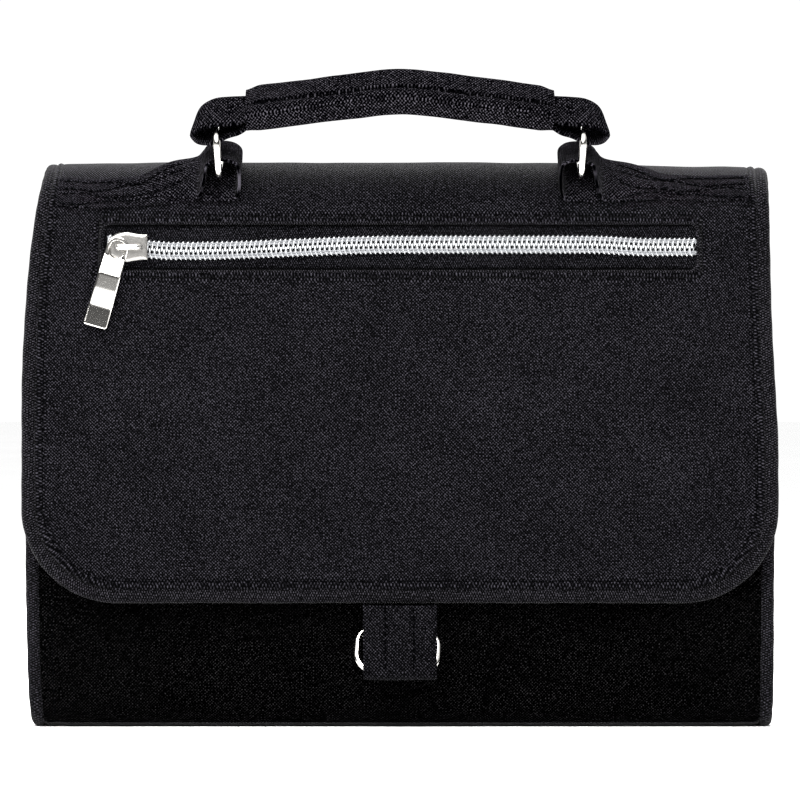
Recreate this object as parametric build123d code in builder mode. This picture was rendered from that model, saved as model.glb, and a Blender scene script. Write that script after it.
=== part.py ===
"""Folding toiletry bag with a flap over its front, a carrying handle and a strap closure.

The bag stands on its flat base. X runs along its width, -Y is the front and +Z is up.
The origin is the centre of the base. All sizes are in millimetres.
"""

import os
from math import cos, radians, sin

from build123d import *

# Bag body
overall_width = 240.0
body_inset = 5.5  # of the shell's cut ends from the bag's sides
body_depth = 78.0
mouth_height = 158.0  # top of the front panel
back_height = 158.0  # where the back panel ends and the flap begins
base_bend = 9.0  # bend of the shell between base and walls
shell_thickness = 2.0
gusset_thickness = 1.5
gusset_clearance = 1.5  # between a gusset's top and the crown
lining_thickness = 0.6
board_thickness = 1.5
board_margin = 3.5
body_welt_diameter = 4.6
binding_thickness = 0.8
binding_drop = 9.0
welt_sides = 8  # of the many-sided section of a corded welt
bend_steps = 4  # in each bend of a welt or a wire
seam_gap = 0.1  # between pieces that are sewn together

# Flap: a crown over the bag's top, folded down into the front panel
crown_height = 180.0
crown_radius = 18.0
hem_height = 40.0  # lowest point of the flap
flap_standoff = 4.4  # between the body's front and the inside of the flap
flap_skin = 1.6
pocket_space = 2.2  # room in the flap's outer pocket
flap_backing_thickness = 1.6
flap_welt_diameter = 5.0
flap_corner = 27.5  # of the welt's middle line
fold_gap = 0.3  # between layers on both sides of a fold

# Zip in the flap
zip_height = 152.8
window_length = 189.0
window_height = 15.4
window_corner = 1.5
tape_thickness = 0.6
tape_height = 12.0  # of each tape
tape_slit = 1.0  # from the chain's middle to a tape's inner edge
chain_length = 187.0
chain_half_width = 3.05
coil_pitch = 1.54
coil_height = 1.9
coil_wire = 0.56
coil_hook = 0.45  # how far a hook reaches past the chain's middle
coil_slant = 0.6  # how far a hook's root leans along the chain
coil_seam = 0.55  # width of the stitched edge that carries the hooks
chain_parting = 1.5  # how far each row stands off the middle at the slider's nose
parting_run = 2.2  # length over which the rows part

# Slider and its puller
slider_rest = -86.0
slider_length = 12.0
slider_half_width = 4.6
slider_nose_half_width = 2.6
slider_tail_half_width = 3.9
slider_widest_x = -0.6  # from the slider's middle
slider_taper_x = 4.2  # where its sides end their taper
slider_plate = 1.1
slider_clearance = 0.25
slider_chamfer = 0.35
post_width = 1.6
post_length = 2.6
post_inset = 0.6
bridge_span = 9.0  # outside its feet
bridge_width = 1.6
bridge_bar = 1.0
bridge_foot = 1.4
bridge_bend = 0.6
puller_length = 24.8  # from the middle of its eye to its tip
puller_width = 7.2
puller_tip_width = 7.8
puller_thickness = 1.2
puller_step = 0.4  # how far the puller rises just past its eye
puller_step_run = 3.2
puller_sink = 0.5  # how far the tip comes back towards the flap
puller_lean = 16.0  # degrees to the left at rest
puller_corner = 0.8
eye_length = 5.6
eye_width = 4.4
eye_drop = 0.8  # of the eye's middle below the bridge
eye_shift = 0.3  # of the eye's middle from the bridge's foot

# Wire rings, the same for the handle and the closure
ring_wire = 2.3
ring_slot = 24.0  # clear length inside a ring
ring_clear_height = 12.0
ring_corner = 4.0  # bend of the wire's middle line
ring_play = 0.3  # between the wire and the webbing round it
wire_sides = 12  # of the many-sided section that stands for round wire

# Handle
webbing_width = 21.8
webbing_thickness = 1.6
ring_spacing = 115.0
handle_lean = 20.0  # degrees towards the front
ring_setback = -6.4  # of the rings along their lower bar, from where the crown is nearest
tab_start = 6.0  # degrees down the crown's front curve
tab_span = 70.0
tab_margin = 1.2
tab_underlap = 1.0  # of the flat webbing past the ring's middle
tab_loop_rise = 2.6
tab_loop_radius = 2.7  # inside
handle_loop_reach = 4.6
handle_loop_radius = 2.2  # inside
handle_loop_height = 6.0  # of the loop's round end, above the rings' middle
corner_room = 1.6  # below the rings' upper bar, for the bend of their corners
grip_length = 97.0
grip_height = 10.2  # of the grip's ends above the rings' middle
grip_rise = 8.4
grip_bend = 90.0
grip_width = 26.0
grip_wall = 1.0
grip_edge = 1.5  # bevel of the sleeve's long edges
grip_joint = 1.1  # from the sleeve's end to where the two layers of webbing meet
sleeve_play = 0.2  # between the webbing and the sleeve
padding_width = 22.0

# Strap closure
strap_width = 23.2
strap_thickness = 1.2
closure_bar_height = 31.5
closure_tilt = 25.0  # degrees that the closure ring stands off the front
anchor_standoff = 0.25
anchor_bottom = 38.0
anchor_height = 8.0
anchor_width = 19.6
anchor_thickness = 1.1
strap_top = 62.0
strap_bend_height = 40.0
strap_lower_height = 33.0
strap_bend = 3.0
bar_clearance = 0.6
tail_tip_height = 39.2
tail_lean = 2.0  # how far the tail's tip comes back towards the flap
patch_thickness = 0.45
patch_height = 7.0
patch_bottom = 25.0
patch_margin = 1.6

# Mesh pocket on the inside of the flap
mesh_thickness = 0.5
mesh_half_width = 104.0
mesh_bottom = 66.0
mesh_top = 143.0
mesh_corner = 12.0
mesh_edge_height = 6.0
mesh_edge_thickness = 0.8

# Worked out from the sizes above
body_width = overall_width - 2 * body_inset
half_depth = body_depth / 2
body_half_width = body_width / 2
flap_thickness = flap_skin + pocket_space + flap_backing_thickness
front_y = -(half_depth + flap_standoff + flap_thickness)  # outer face of the flap
backing_y = front_y + flap_skin + pocket_space
inside_y = front_y + flap_thickness
back_y = half_depth
fold_z = crown_height - crown_radius
crown_low = fold_z + fold_gap / 2
panel_top = fold_z - fold_gap / 2
crown_back_low = back_height + fold_gap
shoulder_y = front_y + crown_radius
welt_inset = flap_thickness / 2
welt_y = front_y + welt_inset
flap_welt_radius = flap_welt_diameter / 2
flap_welt_x = overall_width / 2 - flap_welt_radius
flap_half_width = flap_welt_x - flap_welt_radius - seam_gap
hem_middle = hem_height + flap_welt_radius
panel_bottom = hem_middle + flap_welt_radius + seam_gap
panel_corner = flap_corner - flap_welt_radius - seam_gap
welt_depth = body_welt_diameter / 2 + seam_gap
body_welt_x = body_half_width + welt_depth
wire_radius = ring_wire / 2
bar_spacing = ring_clear_height + ring_wire  # between the middles of a ring's long bars

parts_folder = "parts"


def save(part, name):
    """Labels a finished piece and writes it to its own file."""
    part.label = name
    export_step(part, f"{parts_folder}/{name}.step")


def arch(depth, low):
    """Side profile of what lies under the crown, at a depth below its outer face."""
    with BuildSketch(Plane.YZ) as profile:
        with Locations(((front_y + back_y) / 2, low)):
            Rectangle(
                back_y - front_y - 2 * depth,
                crown_height - depth - low,
                align=(Align.CENTER, Align.MIN),
            )
        fillet(profile.vertices().group_by(Axis.Y)[-1], radius=crown_radius - depth)
    return profile.sketch


def crown_layer(outer, inner):
    """One layer of the crown, between two depths below its outer face."""
    with BuildPart() as layer:
        extrude(arch(outer, crown_back_low), amount=flap_half_width, both=True)
        extrude(arch(inner, crown_back_low), amount=body_width, both=True, mode=Mode.SUBTRACT)
        with BuildSketch(Plane.XY.offset(crown_low)):
            with Locations((0, front_y)):
                Rectangle(overall_width, 2 * crown_radius)
        extrude(amount=-crown_height, mode=Mode.SUBTRACT)
    return layer.part


def flap_layer(depth, thickness):
    """One flat layer of the flap's front, with its rounded lower corners."""
    with BuildPart() as layer:
        with BuildSketch(Plane.XZ.offset(-front_y - depth)) as outline:
            with Locations((0, panel_bottom)):
                Rectangle(
                    2 * flap_half_width,
                    panel_top - panel_bottom,
                    align=(Align.CENTER, Align.MIN),
                )
            fillet(outline.vertices().group_by(Axis.Y)[0], radius=panel_corner)
        extrude(amount=-thickness)
    return layer.part


def trough(depth, high):
    """Side profile of what lies inside the shell, at a depth below its outer face."""
    with BuildSketch(Plane.YZ) as profile:
        with Locations((0, depth)):
            Rectangle(body_depth - 2 * depth, high - depth, align=(Align.CENTER, Align.MIN))
        fillet(profile.vertices().group_by(Axis.Y)[0], radius=base_bend - depth)
    return profile.sketch


def tube(path, normal, diameter, sides):
    """A many-sided tube along flat lines and arcs that lie across a normal."""
    with BuildPart() as made:
        for edge in path.edges():
            steps = 1 if edge.geom_type == GeomType.LINE else bend_steps
            for step in range(steps + 1):
                place = edge @ (step / steps)
                heading = edge % (step / steps)
                with BuildSketch(Plane(origin=place, x_dir=normal, z_dir=heading)):
                    RegularPolygon(diameter / 2, sides)
            loft(ruled=True)
    return made.part


def wire_ring(plane):
    """A ring bent from round wire, with its long bars along the plane's X."""
    long_half = (ring_slot + ring_wire) / 2
    short_half = bar_spacing / 2
    with BuildLine(plane) as path:
        FilletPolyline(
            (-long_half, -short_half),
            (long_half, -short_half),
            (long_half, short_half),
            (-long_half, short_half),
            radius=ring_corner,
            close=True,
        )
    return tube(path.line, plane.z_dir, ring_wire, wire_sides)


os.makedirs(parts_folder, exist_ok=True)

# Body shell: front, base and back in one piece
with BuildPart() as body_shell:
    extrude(trough(0, max(mouth_height, back_height)), amount=body_half_width, both=True)
    extrude(
        trough(shell_thickness, crown_height), amount=body_width, both=True, mode=Mode.SUBTRACT
    )
    for side, top in ((-1, mouth_height), (1, back_height)):
        with BuildSketch(Plane.XY.offset(top)):
            with Locations((0, side * half_depth)):
                Rectangle(2 * body_width, body_depth)
        extrude(amount=crown_height, mode=Mode.SUBTRACT)
save(body_shell.part, "body_shell")

# Welts round both ends of the shell
welt_reach = half_depth - welt_depth
for side, name in ((-1, "body_welt_left"), (1, "body_welt_right")):
    with BuildLine(Plane.YZ.offset(side * body_welt_x)) as body_welt_path:
        FilletPolyline(
            (-welt_reach, mouth_height),
            (-welt_reach, welt_depth),
            (welt_reach, welt_depth),
            (welt_reach, back_height - fold_gap),
            radius=base_bend - welt_depth,
        )
    save(tube(body_welt_path.line, Axis.X.direction, body_welt_diameter, welt_sides), name)

# Gussets: the two side walls, with tops that follow the crown
gusset_low = 2 * welt_depth
gusset_bend = max(base_bend - gusset_low, seam_gap)
for side, name in ((-1, "gusset_left"), (1, "gusset_right")):
    inner_x = side * (body_half_width + seam_gap)
    outer_x = inner_x + side * gusset_thickness
    with BuildPart() as gusset:
        extrude(
            arch(flap_thickness + gusset_clearance, gusset_low), amount=overall_width, both=True
        )
        with BuildSketch(Plane.YZ.offset(inner_x)) as gusset_side:
            with Locations((0, gusset_low)):
                Rectangle(
                    body_depth - 2 * gusset_low, crown_height, align=(Align.CENTER, Align.MIN)
                )
            fillet(gusset_side.vertices().group_by(Axis.Y)[0], radius=gusset_bend)
        extrude(amount=outer_x - inner_x, mode=Mode.INTERSECT)
    save(gusset.part, name)

# Lining of the main compartment and the stiff board under it
lining_depth = shell_thickness + seam_gap
lining_floor = lining_depth + board_thickness + seam_gap
lining_half_width = body_half_width - seam_gap
lining_half_depth = half_depth - lining_depth
with BuildPart() as lining:
    with BuildSketch(Plane.XY.offset(lining_floor)):
        Rectangle(2 * lining_half_width, 2 * lining_half_depth)
    extrude(amount=mouth_height - lining_floor)
    fillet(lining.edges().group_by(Axis.Z)[0], radius=base_bend - lining_depth)
    mouth_face = lining.faces().sort_by(Axis.Z)[-1]
    offset(amount=-lining_thickness, openings=mouth_face)
    with BuildSketch(Plane.XY.offset(back_height - fold_gap)):
        with Locations((0, lining_half_depth)):
            Rectangle(body_width, 2 * lining_thickness + fold_gap)
    extrude(amount=crown_height, mode=Mode.SUBTRACT)
save(lining.part, "lining")

with BuildPart() as base_board:
    with BuildSketch(Plane.XY.offset(lining_depth)):
        RectangleRounded(
            body_width - 2 * board_margin, body_depth - 2 * base_bend, board_margin
        )
    extrude(amount=board_thickness)
save(base_board.part, "base_board")

# Binding folded over the top edge of the front panel
binding_outer = half_depth + seam_gap + binding_thickness
binding_inner = lining_half_depth - lining_thickness - seam_gap - binding_thickness
with BuildPart() as mouth_binding:
    with BuildSketch(Plane.YZ) as binding_side:
        with Locations((-binding_outer, mouth_height + seam_gap + binding_thickness)):
            Rectangle(
                binding_outer - binding_inner,
                binding_drop + binding_thickness,
                align=(Align.MIN, Align.MAX),
            )
        fillet(binding_side.vertices().group_by(Axis.Y)[-1], radius=binding_thickness)
        with Locations((-half_depth - seam_gap, mouth_height + seam_gap)):
            Rectangle(
                binding_outer - binding_inner - 2 * binding_thickness,
                mouth_height,
                align=(Align.MIN, Align.MAX),
                mode=Mode.SUBTRACT,
            )
    extrude(amount=lining_half_width - lining_thickness - seam_gap, both=True)
save(mouth_binding.part, "mouth_binding")

# Crown of the flap, over the bag's open top
save(crown_layer(0, flap_skin), "crown_outer")
save(crown_layer(flap_skin + pocket_space, flap_thickness), "crown_backing")
for side, name in ((-1, "crown_welt_left"), (1, "crown_welt_right")):
    with BuildLine(Plane.YZ.offset(side * flap_welt_x)) as crown_welt_path:
        FilletPolyline(
            (welt_y, crown_low),
            (welt_y, crown_height - welt_inset),
            (back_y - welt_inset, crown_height - welt_inset),
            (back_y - welt_inset, crown_back_low),
            radius=crown_radius - welt_inset - fold_gap,
        )
    save(tube(crown_welt_path.line, Axis.X.direction, flap_welt_diameter, welt_sides), name)

# Front of the flap: outer panel with the zip's window, backing and welt
with BuildPart() as flap_outer:
    add(flap_layer(0, flap_skin))
    with BuildSketch(Plane.XZ.offset(-front_y)):
        with Locations((0, zip_height)):
            RectangleRounded(window_length, window_height, window_corner)
    extrude(amount=-2 * flap_skin, mode=Mode.SUBTRACT)
save(flap_outer.part, "flap_outer")
save(flap_layer(flap_skin + pocket_space, flap_backing_thickness), "flap_backing")
with BuildLine(Plane.XZ.offset(-welt_y)) as flap_welt_path:
    FilletPolyline(
        (-flap_welt_x, panel_top),
        (-flap_welt_x, hem_middle),
        (flap_welt_x, hem_middle),
        (flap_welt_x, panel_top),
        radius=flap_corner,
    )
save(tube(flap_welt_path.line, Axis.Y.direction, flap_welt_diameter, welt_sides), "flap_welt")

# Zip tapes, just behind the window
tape_y = front_y + flap_skin + seam_gap
tape_plane = Plane.XZ.offset(-tape_y)
upper_reach = min(tape_height, panel_top - zip_height)
for side, name, reach in ((1, "zip_tape_upper", upper_reach), (-1, "zip_tape_lower", tape_height)):
    with BuildPart() as tape:
        with BuildSketch(tape_plane):
            with Locations((0, zip_height + side * (reach + tape_slit) / 2)):
                Rectangle(window_length + 2 * window_corner, reach - tape_slit)
        extrude(amount=-tape_thickness)
    save(tape.part, name)


def row_offset(x):
    """How far a coil row stands off the closed chain at x, beside and past the slider."""
    share = (slider_rest - x) / parting_run
    return chain_parting * min(max(share, 0.0), 1.0)


# Coil rows: hooks on a stitched edge, the rows half a pitch apart
coil_count = int(chain_length / coil_pitch)
coil_start = -(coil_count - 1) / 2 * coil_pitch
row_end = chain_length / 2
for side, name in ((1, "zip_coil_upper"), (-1, "zip_coil_lower")):
    row_start = coil_start + side * coil_pitch / 4
    hook_x = [row_start + count * coil_pitch for count in range(coil_count)]
    hook_places = [(x, zip_height + side * row_offset(x)) for x in hook_x]
    edge_x = (-row_end, slider_rest - parting_run, slider_rest, row_end)
    outer_edge = [(x, zip_height + side * (chain_half_width + row_offset(x))) for x in edge_x]
    inner_edge = [(x, z - side * coil_seam) for x, z in outer_edge]
    with BuildPart() as coil:
        with BuildSketch(tape_plane.offset(seam_gap / 2)):
            Polygon(*inner_edge, *reversed(outer_edge), align=None)
            with Locations(*hook_places):
                Polygon(
                    (-coil_wire / 2, -side * coil_hook),
                    (coil_wire / 2, -side * coil_hook),
                    (coil_wire / 2 - coil_slant, side * chain_half_width),
                    (-coil_wire / 2 - coil_slant, side * chain_half_width),
                    align=None,
                )
        extrude(amount=coil_height)
    save(coil.part, name)

# Slider: front plate, flanges, nose post, back plate and bridge
slider_plane = Plane(origin=(slider_rest, 0, zip_height), x_dir=(1, 0, 0), z_dir=(0, -1, 0))
bridge_plane = Plane(origin=(slider_rest, 0, zip_height), x_dir=(1, 0, 0), z_dir=(0, 0, -1))
half_slider = slider_length / 2
plate_inner = -tape_y + seam_gap / 2 + coil_height + slider_clearance
plate_outer = plate_inner + slider_plate
flange_low = -tape_y + slider_clearance
flange_inner = chain_half_width + slider_clearance
back_plate_front = -tape_y - tape_thickness - slider_clearance
back_plate_back = -backing_y + slider_clearance
bridge_gap = puller_thickness + 2 * slider_clearance
bridge_top = plate_outer + bridge_gap + bridge_bar
with BuildSketch() as slider_shape:
    with BuildLine():
        slider_edge = Spline(
            (-half_slider, slider_nose_half_width),
            (slider_widest_x, slider_half_width),
            (slider_taper_x, slider_tail_half_width),
            (half_slider, slider_tail_half_width),
        )
        mirror(slider_edge, about=Plane.XZ)
        Line(slider_edge @ 0, (-half_slider, -slider_nose_half_width))
        Line(slider_edge @ 1, (half_slider, -slider_tail_half_width))
    make_face()
with BuildPart() as zip_slider:
    with BuildSketch(slider_plane.offset(plate_inner)):
        add(slider_shape.sketch)
    extrude(amount=slider_plate)
    chamfer(zip_slider.faces().sort_by(Axis.Y)[0].edges(), length=slider_chamfer)
    with BuildSketch(slider_plane.offset(flange_low)):
        add(slider_shape.sketch)
        Rectangle(
            slider_length,
            2 * flange_inner,
            align=(Align.MIN, Align.CENTER),
            mode=Mode.SUBTRACT,
        )
        with Locations((slider_clearance, 0)):
            Rectangle(
                slider_length,
                4 * slider_half_width,
                align=(Align.MAX, Align.CENTER),
                mode=Mode.SUBTRACT,
            )
    extrude(amount=plate_inner - flange_low)
    with BuildSketch(slider_plane.offset(back_plate_back)):
        add(slider_shape.sketch)
    extrude(amount=back_plate_front - back_plate_back)
    with BuildSketch(slider_plane.offset(back_plate_back)):
        with Locations((-half_slider + post_inset + post_length / 2, 0)):
            Ellipse(post_length / 2, post_width / 2)
    extrude(amount=plate_inner - back_plate_back)
    with BuildSketch(bridge_plane) as bridge_side:
        with Locations((0, plate_outer)):
            Rectangle(bridge_span, bridge_top - plate_outer, align=(Align.CENTER, Align.MIN))
        fillet(bridge_side.vertices().group_by(Axis.Y)[-1], radius=bridge_bend)
        with Locations((0, plate_outer)):
            Rectangle(
                bridge_span - 2 * bridge_foot,
                bridge_gap,
                align=(Align.CENTER, Align.MIN),
                mode=Mode.SUBTRACT,
            )
    extrude(amount=bridge_width / 2, both=True)
save(zip_slider.part, "zip_slider")

# Puller: a bowed plate whose eye lies round the bridge's left foot
eye_x = slider_rest - (bridge_span - bridge_foot) / 2 + eye_shift
puller_y = -(plate_outer + slider_clearance + puller_thickness / 2)
puller_along = Vector(-sin(radians(puller_lean)), 0, -cos(radians(puller_lean)))
puller_origin = (eye_x, puller_y, zip_height - eye_drop)
outward = Vector(0, -1, 0)
puller_side = Plane(origin=puller_origin, x_dir=puller_along, z_dir=puller_along.cross(outward))
puller_front = Plane(origin=puller_origin, x_dir=puller_along, z_dir=outward)
eye_end = (puller_width - eye_width + eye_length) / 2
with BuildPart() as zip_puller:
    with BuildSketch(puller_side):
        with BuildLine():
            flat = Line(
                (-eye_end - puller_thickness, -puller_thickness / 2),
                (eye_end, -puller_thickness / 2),
            )
            step = TangentArc(
                flat @ 1, flat @ 1 + (puller_step_run, puller_step), tangent=flat % 1
            )
            TangentArc(
                step @ 1,
                (puller_length + puller_thickness, -puller_sink - puller_thickness / 2),
                tangent=step % 1,
            )
            offset(amount=puller_thickness, side=Side.LEFT)
        make_face()
    extrude(amount=puller_tip_width, both=True)
    with BuildSketch(puller_front) as puller_outline:
        with Locations(((eye_length - eye_width) / -2, 0)):
            Circle(puller_width / 2)
        Polygon(
            (0, puller_width / 2),
            (0, -puller_width / 2),
            (puller_length, -puller_tip_width / 2),
            (puller_length, puller_tip_width / 2),
            align=None,
        )
        fillet(puller_outline.vertices().group_by(Axis.X)[-1], radius=puller_corner)
        Ellipse(eye_length / 2, eye_width / 2, mode=Mode.SUBTRACT)
    extrude(amount=puller_width, both=True, mode=Mode.INTERSECT)
save(zip_puller.part, "zip_puller")

# Rings of the handle, on the crown's front curve
lean_sin = sin(radians(handle_lean))
lean_cos = cos(radians(handle_lean))
loop_thickness = wire_radius + ring_play + webbing_thickness
bar_lift = crown_radius + seam_gap + loop_thickness
lower_bar_y = shoulder_y - bar_lift * lean_sin + ring_setback * lean_cos
lower_bar_z = fold_z + bar_lift * lean_cos + ring_setback * lean_sin
ring_y = lower_bar_y - bar_spacing / 2 * lean_sin
ring_z = lower_bar_z + bar_spacing / 2 * lean_cos
for side, name in ((-1, "handle_ring_left"), (1, "handle_ring_right")):
    ring_plane = Plane(
        origin=(side * ring_spacing / 2, ring_y, ring_z),
        x_dir=(0, lean_cos, lean_sin),
        z_dir=(1, 0, 0),
    )
    save(wire_ring(ring_plane), name)

# Webbing tabs: sewn flat round the crown's front curve and looped through the rings
tab_plane = Plane(
    origin=(0, lower_bar_y, lower_bar_z), x_dir=(1, 0, 0), z_dir=(0, -lean_cos, -lean_sin)
)
tab_inner = crown_radius + seam_gap
tab_length = flap_half_width - tab_margin - ring_spacing / 2 + tab_underlap
slot_radius = wire_radius + ring_play
for side, name in ((-1, "handle_tab_left"), (1, "handle_tab_right")):
    with BuildPart() as handle_tab:
        with BuildSketch(Plane.YZ.offset(side * (ring_spacing / 2 - tab_underlap))):
            with BuildLine():
                inner_arc = CenterArc(
                    (shoulder_y, fold_z), tab_inner, 90 + tab_start, tab_span
                )
                outer_arc = CenterArc(
                    (shoulder_y, fold_z), tab_inner + webbing_thickness, 90 + tab_start, tab_span
                )
                Line(inner_arc @ 0, outer_arc @ 0)
                Line(inner_arc @ 1, outer_arc @ 1)
            make_face()
        extrude(amount=side * tab_length)
        with BuildSketch(tab_plane) as loop_outside:
            with Locations((side * ring_spacing / 2, 0)):
                Circle(loop_thickness)
            with Locations((side * ring_spacing / 2, tab_loop_rise)):
                Circle(tab_loop_radius + webbing_thickness)
            make_hull()
        extrude(amount=webbing_width / 2, both=True)
        with BuildSketch(tab_plane) as loop_inside:
            with Locations((side * ring_spacing / 2, 0)):
                Circle(slot_radius)
            with Locations((side * ring_spacing / 2, tab_loop_rise)):
                Circle(tab_loop_radius)
            make_hull()
        extrude(amount=webbing_width, both=True, mode=Mode.SUBTRACT)
    save(handle_tab.part, name)

# Handle: webbing with a loop round each ring, a padded grip between them
handle_plane = Plane(
    origin=(0, ring_y, ring_z), x_dir=(1, 0, 0), z_dir=(0, -lean_cos, -lean_sin)
)
grip_half = grip_length / 2
core_thickness = 2 * webbing_thickness + seam_gap
layer_lift = (webbing_thickness + seam_gap) / 2
grip_slope = grip_rise / grip_half
joint_x = grip_half + grip_joint
joint_height = grip_height - grip_joint * grip_slope
upper_bar = bar_spacing / 2


def grip_band(half_length, lift, thickness, width):
    """A band that follows the grip's arch, lifted off its middle line."""
    drop = (grip_half - half_length) * grip_slope
    with BuildPart() as band:
        with BuildSketch(handle_plane):
            with BuildLine():
                FilletPolyline(
                    (-half_length, grip_height + drop + lift - thickness / 2),
                    (0, grip_height + grip_rise + lift - thickness / 2),
                    (half_length, grip_height + drop + lift - thickness / 2),
                    radius=grip_bend,
                )
                offset(amount=thickness, side=Side.LEFT)
            make_face()
        extrude(amount=width / 2, both=True)
    return band.part


def loop_hull(plane, side, grown):
    """Outline of a handle loop, grown outwards by a thickness."""
    with BuildSketch(plane) as outline:
        with Locations((side * (ring_spacing / 2 + handle_loop_reach), handle_loop_height)):
            Circle(handle_loop_radius + grown)
        with Locations(
            (side * ring_spacing / 2, upper_bar), (side * ring_spacing / 2, upper_bar - corner_room)
        ):
            Circle(slot_radius + grown)
        with Locations((side * joint_x, joint_height)):
            Circle(seam_gap / 2 + grown)
        make_hull()
    return outline.sketch


with BuildPart() as handle_strap:
    add(grip_band(grip_half, layer_lift, webbing_thickness, webbing_width))
    for side in (-1, 1):
        extrude(
            loop_hull(handle_plane, side, webbing_thickness), amount=webbing_width / 2, both=True
        )
        extrude(
            loop_hull(handle_plane, side, 0),
            amount=webbing_width,
            both=True,
            mode=Mode.SUBTRACT,
        )
save(handle_strap.part, "handle_strap")

padding_half = grip_half - 2 * grip_joint
save(
    grip_band(padding_half, -layer_lift, webbing_thickness, padding_width),
    "grip_padding",
)

sleeve_inside = core_thickness + 2 * sleeve_play
sleeve_outside = sleeve_inside + 2 * grip_wall
with BuildPart() as grip_sleeve:
    add(grip_band(grip_half, 0, sleeve_outside, grip_width))
    side_faces = grip_sleeve.faces().filter_by(handle_plane)
    long_edges = side_faces.edges().filter_by(lambda edge: edge.length > 2 * sleeve_outside)
    chamfer(long_edges, length=grip_edge)
    add(
        grip_band(grip_half + grip_wall, 0, sleeve_inside, webbing_width + 2 * sleeve_play),
        mode=Mode.SUBTRACT,
    )
save(grip_sleeve.part, "grip_sleeve")

# Closure ring, in a webbing tab on the body's front
anchor_loop = wire_radius + ring_play + anchor_thickness
closure_bar_y = -(half_depth + seam_gap + anchor_standoff + anchor_loop)
tilt_sin = sin(radians(closure_tilt))
tilt_cos = cos(radians(closure_tilt))
closure_ring_plane = Plane(
    origin=(
        0,
        closure_bar_y - bar_spacing / 2 * tilt_sin,
        closure_bar_height - bar_spacing / 2 * tilt_cos,
    ),
    x_dir=(1, 0, 0),
    z_dir=(0, -tilt_cos, tilt_sin),
)
save(wire_ring(closure_ring_plane), "closure_ring")

anchor_back = -(half_depth + seam_gap)
with BuildPart() as ring_anchor:
    with BuildSketch(Plane.YZ):
        with Locations((closure_bar_y, closure_bar_height)):
            Circle(anchor_loop)
        with Locations((anchor_back, anchor_bottom)):
            Rectangle(2 * anchor_thickness, seam_gap, align=(Align.MAX, Align.MIN))
        make_hull()
    extrude(amount=anchor_width / 2, both=True)
    with BuildSketch(Plane.YZ):
        with Locations((closure_bar_y, closure_bar_height)):
            Circle(slot_radius)
        with Locations((anchor_back - anchor_thickness, anchor_bottom - anchor_thickness)):
            Circle(seam_gap)
        make_hull()
    extrude(amount=anchor_width, both=True, mode=Mode.SUBTRACT)
    with BuildSketch(Plane.YZ):
        with Locations((anchor_back, anchor_bottom)):
            Rectangle(2 * anchor_thickness, anchor_height, align=(Align.MAX, Align.MIN))
    extrude(amount=anchor_width / 2, both=True)
save(ring_anchor.part, "ring_anchor")

# Closure strap: sewn inside the flap, down behind the ring's lower bar and round it
lower_y = closure_bar_y - bar_spacing * tilt_sin
lower_z = closure_bar_height - bar_spacing * tilt_cos
fold_inside = wire_radius + bar_clearance
strap_face = inside_y + seam_gap
with BuildPart() as closure_strap:
    with BuildSketch(Plane.YZ):
        with BuildLine():
            FilletPolyline(
                (strap_face, strap_top),
                (strap_face, strap_bend_height),
                (lower_y + fold_inside, strap_lower_height),
                (lower_y + fold_inside, lower_z),
                radius=strap_bend,
            )
            CenterArc((lower_y, lower_z), fold_inside, 0, -180)
            offset(amount=strap_thickness, side=Side.LEFT)
        make_face()
    extrude(amount=strap_width / 2, both=True)
save(closure_strap.part, "closure_strap")

# Free end of the strap, which peels off its hook-and-loop fastener
tail_face = lower_y - fold_inside
tail_low = lower_z + fold_gap / 2
tail_slope = tail_lean / (tail_tip_height - tail_low)


def tail_layer(low, high, shift, thickness, width):
    """A layer parallel to the strap's free end, shifted from its inner face."""
    with BuildPart() as layer:
        with BuildSketch(Plane.YZ):
            Polygon(
                (tail_face + (low - tail_low) * tail_slope + shift, low),
                (tail_face + (high - tail_low) * tail_slope + shift, high),
                (tail_face + (high - tail_low) * tail_slope + shift + thickness, high),
                (tail_face + (low - tail_low) * tail_slope + shift + thickness, low),
                align=None,
            )
        extrude(amount=width / 2, both=True)
    return layer.part


save(tail_layer(tail_low, tail_tip_height, 0, -strap_thickness, strap_width), "strap_tail")
patch_width = strap_width - 2 * patch_margin
patch_top = patch_bottom + patch_height
save(
    tail_layer(patch_bottom, patch_top, seam_gap, patch_thickness, patch_width),
    "strap_hook_patch",
)
with BuildPart() as strap_loop_patch:
    with BuildSketch(Plane.XZ.offset(-(lower_y + fold_inside) + seam_gap)):
        with Locations((0, patch_bottom)):
            Rectangle(patch_width, patch_height, align=(Align.CENTER, Align.MIN))
    extrude(amount=patch_thickness)
save(strap_loop_patch.part, "strap_loop_patch")

# Mesh pocket with its bound upper edge, inside the flap
mesh_y = inside_y + seam_gap
with BuildPart() as mesh_pocket:
    with BuildSketch(Plane.XZ.offset(-mesh_y)) as mesh_outline:
        with Locations((0, mesh_bottom)):
            Rectangle(
                2 * mesh_half_width, mesh_top - mesh_bottom, align=(Align.CENTER, Align.MIN)
            )
        fillet(mesh_outline.vertices().group_by(Axis.Y)[0], radius=mesh_corner)
    extrude(amount=-mesh_thickness)
save(mesh_pocket.part, "mesh_pocket")
with BuildPart() as mesh_edge:
    with BuildSketch(Plane.XZ.offset(-(mesh_y + mesh_thickness + seam_gap))):
        with Locations((0, mesh_top)):
            Rectangle(2 * mesh_half_width, mesh_edge_height, align=(Align.CENTER, Align.MAX))
    extrude(amount=-mesh_edge_thickness)
save(mesh_edge.part, "mesh_edge")
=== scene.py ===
"""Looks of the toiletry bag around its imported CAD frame.

Lengths are written in millimetres and become metres when a mesh is made.
X runs along the bag's width, -Y is its front and +Z is up, as in the CAD source.
"""

from math import cos, pi, radians, sin

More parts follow.
